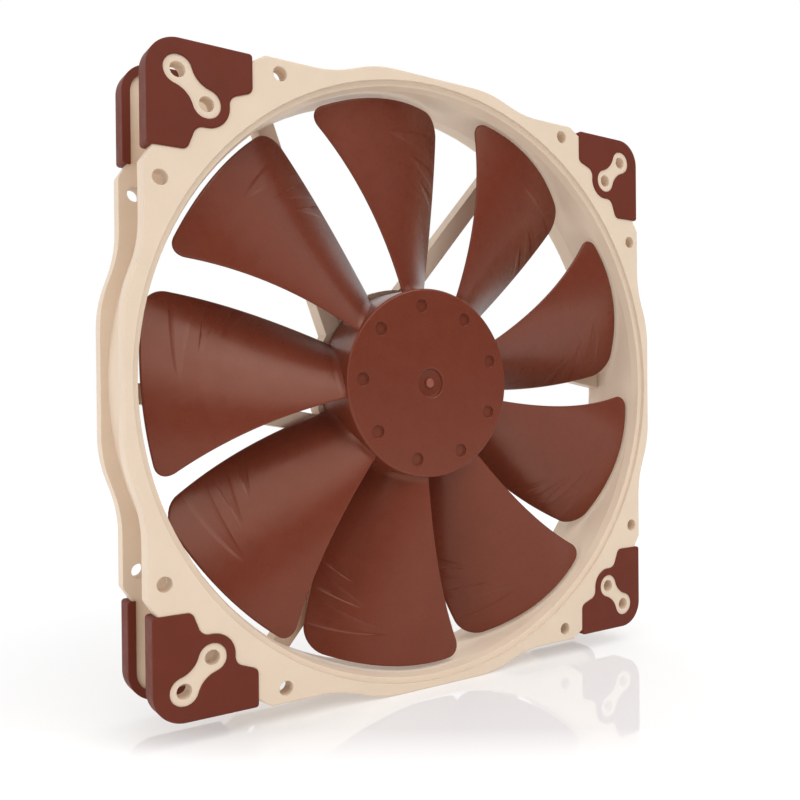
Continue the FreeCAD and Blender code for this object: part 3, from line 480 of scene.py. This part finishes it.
def brushed_can(name, colour):
    """Drawn aluminium: fine lines along the axis and light handling marks."""
    surface = Surface(name)
    surface.set(Metallic=1.0)
    lines = surface.noise(0.08, 2.0, stretch=(1.0, 12.0, 1.0))
    marks = surface.noise(1.2, 4.0)
    base = surface.blend(surface.remap(lines, 0.35, 0.65), shade(colour, 0.85), shade(colour, 1.1))
    final = surface.blend(surface.remap(marks, 0.5, 0.75, 0.0, 0.5), base, shade(colour, 0.7))
    gloss = surface.remap(marks, 0.3, 0.7, 0.22, 0.38)
    surface.soften(0.15)
    surface.bump(lines, 0.01)
    return surface.finish(final, gloss)


def make_materials(colours):
    """One material for each slot of the record, from the slot's own colour."""
    red_brown = colours["impeller_plastic"]
    made = {
        "frame_plastic": moulded_plastic(
            "frame_plastic", colours["frame_plastic"], (0.38, 0.52), 0.40, 0.010, 0.02, 1.06),
        "pad_silicone": moulded_plastic(
            "pad_silicone", colours["pad_silicone"], (0.50, 0.68), 0.12, 0.014, 0.06, 1.25),
        "impeller_plastic": moulded_plastic(
            "impeller_plastic", red_brown, (0.24, 0.34), 0.20, 0.008, 0.04, 1.2, 0.45, WARM_SHEEN,
            AXIS_SPOT_RADIUS),
        "washer_plastic": moulded_plastic(
            "washer_plastic", colours["washer_plastic"], (0.30, 0.45), 0.10, 0.006, 0.03),
        "former_plastic": moulded_plastic(
            "former_plastic", colours["former_plastic"], (0.35, 0.50), 0.12, 0.008, 0.03),
        "yoke_steel": turned_metal(
            "yoke_steel", colours["yoke_steel"], (0.25, 0.42), 0.9, 0.01),
        "shaft_steel": turned_metal(
            "shaft_steel", colours["shaft_steel"], (0.12, 0.22), 0.15, 0.002, 0.95),
        "bearing_brass": turned_metal(
            "bearing_brass", colours["bearing_brass"], (0.20, 0.34), 0.25, 0.008),
        "sleeve_bronze": speckled(
            "sleeve_bronze", colours["sleeve_bronze"], shade(colours["sleeve_bronze"], 1.4),
            0.25, (0.38, 0.55), 0.02, 1.0),
        "magnet_ferrite": speckled(
            "magnet_ferrite", colours["magnet_ferrite"], shade(colours["magnet_ferrite"], 1.6),
            0.35, (0.48, 0.65), 0.02),
        "chip_black": speckled(
            "chip_black", colours["chip_black"], shade(colours["chip_black"], 1.8),
            0.15, (0.42, 0.58), 0.01),
        "contact_tin": speckled(
            "contact_tin", colours["contact_tin"], shade(colours["contact_tin"], 1.15),
            0.5, (0.18, 0.32), 0.015, 1.0),
        "core_steel": laminated_steel("core_steel", colours["core_steel"]),
        "coil_copper": wound_wire("coil_copper", colours["coil_copper"]),
        "board_laminate": board_laminate("board_laminate", colours["board_laminate"]),
        "capacitor_can": brushed_can("capacitor_can", colours["capacitor_can"]),
        "label_film": blank_film("label_film", colours["label_film"], red_brown),
    }
    return made


def paint_nodes(materials, record):
    """Gives every CAD node the material of its slot in the record."""
    for part in record["subparts"]:
        mesh = nodes[part["node"]].data
        mesh.materials.clear()
        mesh.materials.append(materials[part["material_slot"]])


# ---------------------------------------------------------------- mesh helpers


def around(radius, depth, angle):
    """A point from its distance from the axis, its depth and its angle in degrees."""
    turn = math.radians(angle)
    return Vector((radius * math.cos(turn), depth, radius * math.sin(turn))) * MM


def spread(start, end, steps):
    return [start + (end - start) * i / steps for i in range(1, steps + 1)]


def add_piece(name, mesh_data, material, body, replaced):
    """Makes an object of a finished mesh and puts it in place of the CAD nodes named."""
    mesh = bpy.data.meshes.new(name)
    bmesh.ops.recalc_face_normals(mesh_data, faces=mesh_data.faces)
    mesh_data.to_mesh(mesh)
    mesh_data.free()
    mesh.shade_smooth()
    mesh.set_sharp_from_angle(angle=math.radians(50))
    mesh.materials.append(material)
    piece = bpy.data.objects.new(name, mesh)
    scene.collection.objects.link(piece)
    evened = piece.modifiers.new("even_normals", "WEIGHTED_NORMAL")
    evened.keep_sharp = True
    evened.weight = 80
    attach(piece, body)
    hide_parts(*replaced)
    return piece


# ---------------------------------------------------------------- impeller

HUB_RADIUS = 31.5
HUB_FACE = -10.5
HUB_REAR = 8.0
HUB_WALL = 1.5
HUB_ROUND = 0.8
HUB_EDGE_ROUND = 0.35
HUB_TURNS = 180
# the ring inside the cup that holds the shaft's bush, and the gap left open on the axis
BOSS_OUTER = 5.5
BOSS_INNER = 3.8
BOSS_RISE = 1.2
AXIS_GAP = 0.4
DISH_LIP = 5.3
DISH_LIP_ROUND = 0.5
DISH_RADIUS = 4.6
DISH_FLOOR = -9.2
PIP_RADIUS = 1.7
PIP_FACE = -10.0
DIMPLE_RING = 25.8
DIMPLE_RADIUS = 2.2
DIMPLE_DEPTH = 0.90
DIMPLE_TURN = 17.5
DIMPLE_SIDES = 40

BLADE_COUNT = 9
BLADE_TURN = 20.0
BLADE_ROOT = 30.6
BLADE_TIP = 93.8
LEAD_ANGLE = (8.8, 12.4, 17.8)
TRAIL_ANGLE = (-23.8, -20.9, -16.8)
LEAD_DEPTH = (-9.1, -10.0, -8.1)
TRAIL_DEPTH = (5.9, 6.6, 2.0)
BLADE_CAMBER = 0.082
THICK_HUB = 2.4
THICK_TIP = 1.5
THICK_EDGE = 0.8
LEAD_ROUND = 5.5
TRAIL_ROUND = 6.7
ROOT_FLARE = 0.9
ROOT_FLARE_REACH = 2.2

# flow channels: the point where each starts, as (radius, share of the chord), and the radii
# between which it is open at the trailing edge
CHANNELS = [
    (70.3, 0.70, 61.8, 66.4),
    (77.0, 0.61, 69.4, 75.0),
    (83.2, 0.47, 78.0, 86.4),
]
CHANNEL_DEPTH = 0.26
# shares of the chord over which a channel deepens and runs out
CHANNEL_ONSET = 0.16
CHANNEL_RUNOUT = 0.10
CHANNEL_STEP = 0.22
CHANNEL_NECK = 0.30
# share of the full depth at a channel's inner edge
CHANNEL_SHALLOW = 0.45
ROWS_PER_CHANNEL = 7


def through_three(stations, share):
    """The parabola through the values at the hub (0), half way (0.5) and the tip (1)."""
    hub, middle, tip = stations
    bend = 2 * (hub + tip - 2 * middle)
    return hub + (tip - hub - bend) * share + bend * share ** 2


def blade_share(radius):
    return (radius - HUB_RADIUS) / (BLADE_TIP - HUB_RADIUS)


def chord_length(radius):
    share = blade_share(radius)
    sweep = through_three(LEAD_ANGLE, share) - through_three(TRAIL_ANGLE, share)
    return math.radians(sweep) * radius


def corner_drop(gap, rounding):
    """How far a rounded tip corner lies inside the tip, at a distance from the blade's edge."""
    if gap >= rounding:
        return 0.0
    return rounding - math.sqrt(max(rounding ** 2 - (rounding - gap) ** 2, 0.0))


def tip_limit(across):
    """The blade's outermost radius at a share of the chord."""
    chord = chord_length(BLADE_TIP)
    lead_drop = corner_drop(across * chord, LEAD_ROUND)
    trail_drop = corner_drop((1 - across) * chord, TRAIL_ROUND)
    return BLADE_TIP - max(lead_drop, trail_drop)


def rim_distance(radius, across):
    """Distance from the blade's outline, with rounded tip corners."""
    out = BLADE_TIP - radius
    chord = chord_length(radius)
    nearest = out
    for gap, rounding in ((across * chord, LEAD_ROUND), ((1 - across) * chord, TRAIL_ROUND)):
        if gap < rounding and out < rounding:
            nearest = min(nearest, rounding - math.hypot(rounding - gap, rounding - out))
        else:
            nearest = min(nearest, gap)
    return max(nearest, 0.0)


def blade_point(radius, across, side, sunk):
    """A point of the blade's skin: side is -1 at the intake and 1 at the outlet."""
    share = blade_share(radius)
    lead = through_three(LEAD_ANGLE, share)
    trail = through_three(TRAIL_ANGLE, share)
    chord = chord_length(radius)
    front = through_three(LEAD_DEPTH, share)
    drop = through_three(TRAIL_DEPTH, share) - front
    bow = 4 * across * (1 - across)
    depth = front + drop * across - BLADE_CAMBER * chord * bow
    inner = min(max(share, 0.0), 1.0)
    thick = THICK_HUB * (1 - inner) + THICK_TIP * inner
    half = 0.5 * (THICK_EDGE + (thick - THICK_EDGE) * max(bow, 0.0))
    nose = min(rim_distance(radius, across) / (0.5 * THICK_EDGE), 1.0)
    half *= math.sqrt(1.0 - (1.0 - nose) ** 2)
    reach = (radius - HUB_RADIUS) / ROOT_FLARE_REACH
    if reach < 1.0:
        half += ROOT_FLARE * max(bow, 0.0) * (1.0 - max(reach, 0.0)) ** 2
    slant = math.hypot(chord, drop) / chord
    depth += side * slant * (half - sunk)
    return around(radius, depth, lead + (trail - lead) * across)


def channel_rows():
    """Rules for the rows of mesh along the channels' edges.

    Each rule is (channel, place, level): place runs from 0 at the inner edge to 1 at the outer
    one, and level is the share of the full depth there. The outer edge is a clean step and the
    floor climbs towards the inner edge.
    """
    rules = []
    for channel in CHANNELS:
        rules.append((channel, "inner", 0.0, 0.0))
        rules.append((channel, "inner", CHANNEL_STEP, CHANNEL_SHALLOW))
        for place in (0.25, 0.5, 0.75):
            level = CHANNEL_SHALLOW + (1.0 - CHANNEL_SHALLOW) * place
            rules.append((channel, "share", place, level))
        rules.append((channel, "outer", -CHANNEL_STEP, 1.0))
        rules.append((channel, "outer", 0.0, 0.0))
    return rules


def channel_row_radius(rule, across):
    (start, start_across, inner_open, outer_open), kind, place, _ = rule
    inner = start - CHANNEL_NECK
    outer = start + CHANNEL_NECK
    grown = max((across - start_across) / (1.0 - start_across), 0.0) ** 0.85
    inner += (inner_open - inner) * grown
    outer += (outer_open - outer) * grown
    if kind == "inner":
        return inner + place
    if kind == "outer":
        return outer + place
    return inner + CHANNEL_STEP + (outer - inner - 2 * CHANNEL_STEP) * place


def channel_sink(rule, across):
    """Depth of a channel: it deepens from its start and runs out at the trailing edge."""
    (_, start_across, _, _), _, _, level = rule
    grown = min(max((across - start_across) / CHANNEL_ONSET, 0.0), 1.0)
    left = min((1.0 - across) / CHANNEL_RUNOUT, 1.0)
    return CHANNEL_DEPTH * level * left * grown * grown * (3.0 - 2.0 * grown)


def blade_rows(across):
    """The (radius, sink) of every row of mesh at one share of the chord."""
    rows = [(BLADE_ROOT, 0.0)]
    for radius in (31.2, 31.6, 31.9, 32.3, 32.8, 33.4, 34.2, 36.0):
        rows.append((radius, 0.0))
    rules = channel_rows()
    first = channel_row_radius(rules[0], across)
    for radius in spread(36.0, first - 0.3, 12):
        rows.append((radius, 0.0))
    for i, rule in enumerate(rules):
        radius = channel_row_radius(rule, across)
        if i and i % ROWS_PER_CHANNEL == 0:
            gap = radius - rows[-1][0]
            rows += [(rows[-1][0] + 0.3, 0.0), (rows[-1][0] + gap / 2, 0.0), (radius - 0.3, 0.0)]
        rows.append((radius, channel_sink(rule, across)))
    last = rows[-1][0]
    limit = tip_limit(across)
    for share in (0.06, 0.2, 0.4, 0.6, 0.75, 0.86, 0.93, 0.965, 0.985, 0.996, 1.0):
        rows.append((last + (limit - last) * share, 0.0))
    return rows


def blade_columns():
    """Shares of the chord, close together at both edges and at the channels' starts."""
    chord = chord_length(80.0)
    near = [gap / chord for gap in (0.0, 0.03, 0.10, 0.22, 0.40, 0.7, 1.1, 1.7, 2.5, 3.4, 4.4, 5.5)]
    columns = near + spread(near[-1], 0.44, 8)
    columns += spread(0.44, 0.80, 20)
    columns += spread(0.80, 1.0 - near[-1], 3)
    columns += [1.0 - share for share in reversed(near[:-1])]
    return columns


def blade_grid():
    """Rows of (radius, across, sink), one list for each column."""
    return [[(radius, across, sunk) for radius, sunk in blade_rows(across)]
            for across in blade_columns()]


def add_blade(mesh_data, grid, turn):
    """One closed blade, open only at its root, which lies inside the hub's wall."""
    spin = Matrix.Rotation(-math.radians(turn), 3, "Y")
    last_column = len(grid) - 1
    last_row = len(grid[0]) - 1
    skins = []
    rim = {}
    for side in (-1, 1):
        skin = []
        for i, column in enumerate(grid):
            line = []
            for j, (radius, across, sunk) in enumerate(column):
                on_rim = i in (0, last_column) or j == last_row
                if on_rim and side == 1:
                    line.append(rim[i, j])
                    continue
                depth = sunk if side == -1 else 0.0
                made = mesh_data.verts.new(spin @ blade_point(radius, across, side, depth))
                if on_rim:
                    rim[i, j] = made
                line.append(made)
            skin.append(line)
        skins.append(skin)
    for skin in skins:
        for line, following in zip(skin, skin[1:]):
            for j in range(last_row):
                corners = [line[j], following[j], following[j + 1], line[j + 1]]
                mesh_data.faces.new(corners)


def hub_ring(mesh_data, radius, depth):
    return [mesh_data.verts.new(around(radius, depth, 360.0 * i / HUB_TURNS))
            for i in range(HUB_TURNS)]


def join_rings(mesh_data, ring, following):
    count = len(ring)
    for i in range(count):
        j = (i + 1) % count
        mesh_data.faces.new([ring[i], ring[j], following[j], following[i]])


def fillet(centre_radius, centre_depth, rounding, start, end, steps=6):
    """Section points round an arc; angles in degrees from outwards towards the rear."""
    points = []
    for i in range(steps + 1):
        turn = math.radians(start + (end - start) * i / steps)
        points.append((centre_radius + rounding * math.cos(turn),
                       centre_depth + rounding * math.sin(turn)))
    return points


def revolve(mesh_data, section):
    """Turns a section of (radius, depth) points about the axis and returns its end rings."""
    rings = [hub_ring(mesh_data, radius, depth) for radius, depth in section]
    for ring, following in zip(rings, rings[1:]):
        join_rings(mesh_data, ring, following)
    return rings[0], rings[-1]


def add_dimple(mesh_data, angle):
    """A round shallow recess with a softened rim, and its outermost loop."""
    centre = around(DIMPLE_RING, HUB_FACE, angle)
    section = [(DIMPLE_RADIUS + 0.12, 0.0), (DIMPLE_RADIUS + 0.04, 0.03), (DIMPLE_RADIUS, 0.12),
               (DIMPLE_RADIUS - 0.02, DIMPLE_DEPTH - 0.12), (DIMPLE_RADIUS - 0.07, DIMPLE_DEPTH - 0.03),
               (DIMPLE_RADIUS - 0.17, DIMPLE_DEPTH)]
    loops = []
    for radius, depth in section:
        loop = []
        for i in range(DIMPLE_SIDES):
            turn = math.tau * i / DIMPLE_SIDES
            offset = Vector((radius * math.cos(turn), depth, radius * math.sin(turn))) * MM
            loop.append(mesh_data.verts.new(centre + offset))
        loops.append(loop)
    for loop, following in zip(loops, loops[1:]):
        join_rings(mesh_data, loop, following)
    mesh_data.faces.new(loops[-1])
    return loops[0]


def loop_edges(loop):
    """The edges round a closed loop of vertices."""
    edges = []
    for vertex, following in zip(loop, loop[1:] + loop[:1]):
        shared = [edge for edge in vertex.link_edges if following in edge.verts]
        edges.append(shared[0])
    return edges


def add_hub(mesh_data):
    """The hub's cup: dished centre, flat face with dimples, rounded rim, wall and inside."""
    pip = [(PIP_RADIUS * 0.5, PIP_FACE), (PIP_RADIUS * 0.8, PIP_FACE + 0.05),
           (PIP_RADIUS * 0.95, PIP_FACE + 0.18), (PIP_RADIUS, PIP_FACE + 0.50)]
    floor = [(PIP_RADIUS + 0.1, DISH_FLOOR)]
    lip = fillet(DISH_RADIUS - HUB_EDGE_ROUND, DISH_FLOOR - HUB_EDGE_ROUND, HUB_EDGE_ROUND,
                 90, 10, 4)
    lip += fillet(DISH_LIP, HUB_FACE + DISH_LIP_ROUND, DISH_LIP_ROUND, 190, 270, 5)
    centre, face_inner = revolve(mesh_data, pip + floor + lip)
    mesh_data.faces.new(centre)
    rim = fillet(HUB_RADIUS - HUB_ROUND, HUB_FACE + HUB_ROUND, HUB_ROUND, -90, 0, 8)
    rear = fillet(HUB_RADIUS - HUB_EDGE_ROUND, HUB_REAR - HUB_EDGE_ROUND, HUB_EDGE_ROUND, 0, 90, 4)
    inner_wall = HUB_RADIUS - HUB_WALL
    back = HUB_FACE + HUB_WALL
    inside = [(inner_wall, HUB_REAR), (inner_wall, back), (BOSS_OUTER, back),
              (BOSS_OUTER, back + BOSS_RISE), (BOSS_INNER, back + BOSS_RISE), (BOSS_INNER, back),
              (AXIS_GAP, back)]
    face_outer, end = revolve(mesh_data, rim + rear + inside)
    mesh_data.faces.new(end)
    edges = loop_edges(face_inner) + loop_edges(face_outer)
    for i in range(BLADE_COUNT):
        edges += loop_edges(add_dimple(mesh_data, DIMPLE_TURN + 360.0 * i / BLADE_COUNT))
    bmesh.ops.triangle_fill(mesh_data, use_beauty=True, use_dissolve=False, edges=edges)


def add_impeller(materials):
    mesh_data = bmesh.new()
    add_hub(mesh_data)
    grid = blade_grid()
    for i in range(BLADE_COUNT):
        add_blade(mesh_data, grid, BLADE_TURN + 360.0 * i / BLADE_COUNT)
    add_piece("impeller_moulding", mesh_data, materials["impeller_plastic"],
              "rotor", ["impeller"])


# ---------------------------------------------------------------- corner pads

PAD_HALF = 93.6
PAD_START = 63.6
PAD_SHOULDER = 82.6
PAD_DIP = 80.0
PAD_TOE = 70.4
PAD_FACE = -15.5
PAD_UNDERSIDE = -14.3
PAD_BACK = -8.5
PAD_LIP_FRONT = -9.5
PAD_WALL = 92.0
PAD_LIP = 91.2
PAD_CORNER_ROUND = 9.0
PAD_CORNER_CENTRE = PAD_HALF - PAD_CORNER_ROUND
WINDOW_OUTER = 85.0
WINDOW_INNER = 77.0
WINDOW_RADIUS = 4.1
WINDOW_WAIST = 2.6
ARC_STEPS = 16
# corners of the pad's face and the rounding of each; the walled part runs from the first to the third
PAD_CORNERS = [
    ((PAD_START, PAD_HALF), 1.0), ((PAD_HALF, PAD_HALF), PAD_CORNER_ROUND),
    ((PAD_HALF, PAD_START), 1.0), ((PAD_SHOULDER, PAD_START), 2.2), ((PAD_DIP, PAD_TOE), 3.0),
    ((PAD_TOE, PAD_TOE), 6.5), ((PAD_TOE, PAD_DIP), 3.0), ((PAD_START, PAD_SHOULDER), 2.2)]
# how the moulded edges fall away: distance in from the edge and drop below the face
PAD_EDGE = [(0.55, 0.0), (0.28, 0.03), (0.11, 0.11), (0.03, 0.24), (0.0, 0.40)]
WINDOW_EDGE = [(0.28, 0.0), (0.12, 0.03), (0.03, 0.11), (0.0, 0.26)]


def rounded_outline(corners):
    """Points round a polygon with rounded corners, each with its outward direction."""
    outline = []
    for i, (corner, radius) in enumerate(corners):
        here = Vector(corner)
        before = (Vector(corners[i - 1][0]) - here).normalized()
        after = (Vector(corners[(i + 1) % len(corners)][0]) - here).normalized()
        half = before.angle(after) / 2.0
        centre = here + (before + after).normalized() * (radius / math.sin(half))
        reach = radius / math.tan(half)
        start = here + before * reach - centre
        end = here + after * reach - centre
        hollow = before.cross(after) < 0.0
        for step in range(ARC_STEPS + 1):
            spoke = start.slerp(end, step / ARC_STEPS).normalized()
            outline.append((centre + spoke * radius, -spoke if hollow else spoke))
    return outline


def window_outline():
    """Two round ends and the hollow arcs between them, with directions out of the window."""
    apart = (WINDOW_OUTER - WINDOW_INNER) / math.sqrt(2.0)
    hollow = (apart ** 2 + WINDOW_WAIST ** 2 - WINDOW_RADIUS ** 2) / (
        2.0 * (WINDOW_RADIUS - WINDOW_WAIST))
    lean = math.atan2(WINDOW_WAIST + hollow, apart)
    middle = (WINDOW_OUTER + WINDOW_INNER) / 2.0
    aside = (WINDOW_WAIST + hollow) * math.sqrt(0.5)
    diagonal = math.pi / 4.0
    arcs = [
        ((WINDOW_OUTER, WINDOW_OUTER), WINDOW_RADIUS, diagonal - math.pi + lean,
         diagonal + math.pi - lean, 1.0),
        ((middle - aside, middle + aside), hollow, diagonal - lean, diagonal - math.pi + lean, -1.0),
        ((WINDOW_INNER, WINDOW_INNER), WINDOW_RADIUS, diagonal + lean,
         diagonal + math.tau - lean, 1.0),
        ((middle + aside, middle - aside), hollow, diagonal + math.pi - lean, diagonal + lean, -1.0)]
    outline = []
    for centre, radius, start, end, outward in arcs:
        for step in range(1, ARC_STEPS + 1):
            turn = start + (end - start) * step / ARC_STEPS
            spoke = Vector((math.cos(turn), math.sin(turn)))
            outline.append((Vector(centre) + spoke * radius, spoke * outward))
    return outline


def outline_loop(mesh_data, outline, shift, depth):
    """A loop of vertices at a depth, the outline moved by shift along its directions."""
    loop = []
    for point, outward in outline:
        across, up = point + outward * shift
        loop.append(mesh_data.verts.new(Vector((across, depth, up)) * MM))
    return loop


def wall_point(point, reach):
    """Where the pad's inner wall stands beside a point of its outer edge."""
    across, up = point
    if across < PAD_CORNER_CENTRE:
        return Vector((across, reach))
    if up < PAD_CORNER_CENTRE:
        return Vector((reach, up))
    centre = Vector((PAD_CORNER_CENTRE, PAD_CORNER_CENTRE))
    return centre + (point - centre).normalized() * (reach - PAD_CORNER_CENTRE)


def add_pad_wall(mesh_data, outline):
    """The wall down the flange's edge and the lip behind it, swept along the outer edge."""
    columns = []
    for point, outward in outline[:3 * (ARC_STEPS + 1)]:
        wall = wall_point(point, PAD_WALL)
        lip = wall_point(point, PAD_LIP)
        section = [(point, PAD_UNDERSIDE), (point, PAD_BACK - 0.3),
                   (point - outward * 0.09, PAD_BACK - 0.09), (point - outward * 0.3, PAD_BACK),
                   (lip, PAD_BACK), (lip, PAD_LIP_FRONT), (wall, PAD_LIP_FRONT),
                   (wall, PAD_UNDERSIDE)]
        columns.append([mesh_data.verts.new(Vector((place[0], depth, place[1])) * MM)
                        for place, depth in section])
    for column, following in zip(columns, columns[1:]):
        for i in range(len(column) - 1):
            mesh_data.faces.new((column[i], column[i + 1], following[i + 1], following[i]))
    mesh_data.faces.new(columns[0])
    mesh_data.faces.new(columns[-1])


def pad_mesh(turn):
    """One pad: a face plate with its window, and a wall that grips the flange's edge."""
    mesh_data = bmesh.new()
    outer = rounded_outline(PAD_CORNERS)
    window = window_outline()
    sides = []
    for outline, edge, sense in ((outer, PAD_EDGE, -1.0), (window, WINDOW_EDGE, 1.0)):
        loops = [outline_loop(mesh_data, outline, sense * inset, PAD_FACE + drop)
                 for inset, drop in edge]
        loops.append(outline_loop(mesh_data, outline, 0.0, PAD_UNDERSIDE))
        for loop, following in zip(loops, loops[1:]):
            join_rings(mesh_data, loop, following)
        sides.append(loops)
    for level in (0, -1):
        edges = loop_edges(sides[0][level]) + loop_edges(sides[1][level])
        bmesh.ops.triangle_fill(mesh_data, use_beauty=True, use_dissolve=False, edges=edges)
    add_pad_wall(mesh_data, outer)
    mesh_data.transform(turn)
    return mesh_data


def add_pads(materials):
    """Four pads on the front flange, and four behind that are the same pads turned round."""
    for side, flip in (("front", 0.0), ("rear", math.pi)):
        for quarter in range(4):
            turn = Matrix.Rotation(math.tau * quarter / 4, 4, "Y") @ Matrix.Rotation(flip, 4, "Z")
            corner = turn @ Vector((1.0, 0.0, 1.0))
            level = "top" if corner.z > 0.0 else "bottom"
            hand = "right" if corner.x > 0.0 else "left"
            place = f"{side}_{level}_{hand}"
            add_piece(f"soft_pad_{place}", pad_mesh(turn), materials["pad_silicone"],
                      "housing", [f"pad_{place}"])


# ---------------------------------------------------------------- the scene

scene.view_settings.view_transform = "Standard"
add_camera()
add_world()
for name, place, across, power in LAMPS:
    add_lamp(name, place, across, power)
add_floor()
record = frame["record"]
slot_colours = {entry["slot"]: tuple(entry["base_color"]) for entry in record["materials"]}
materials = make_materials(slot_colours)
paint_nodes(materials, record)
add_impeller(materials)
add_pads(materials)
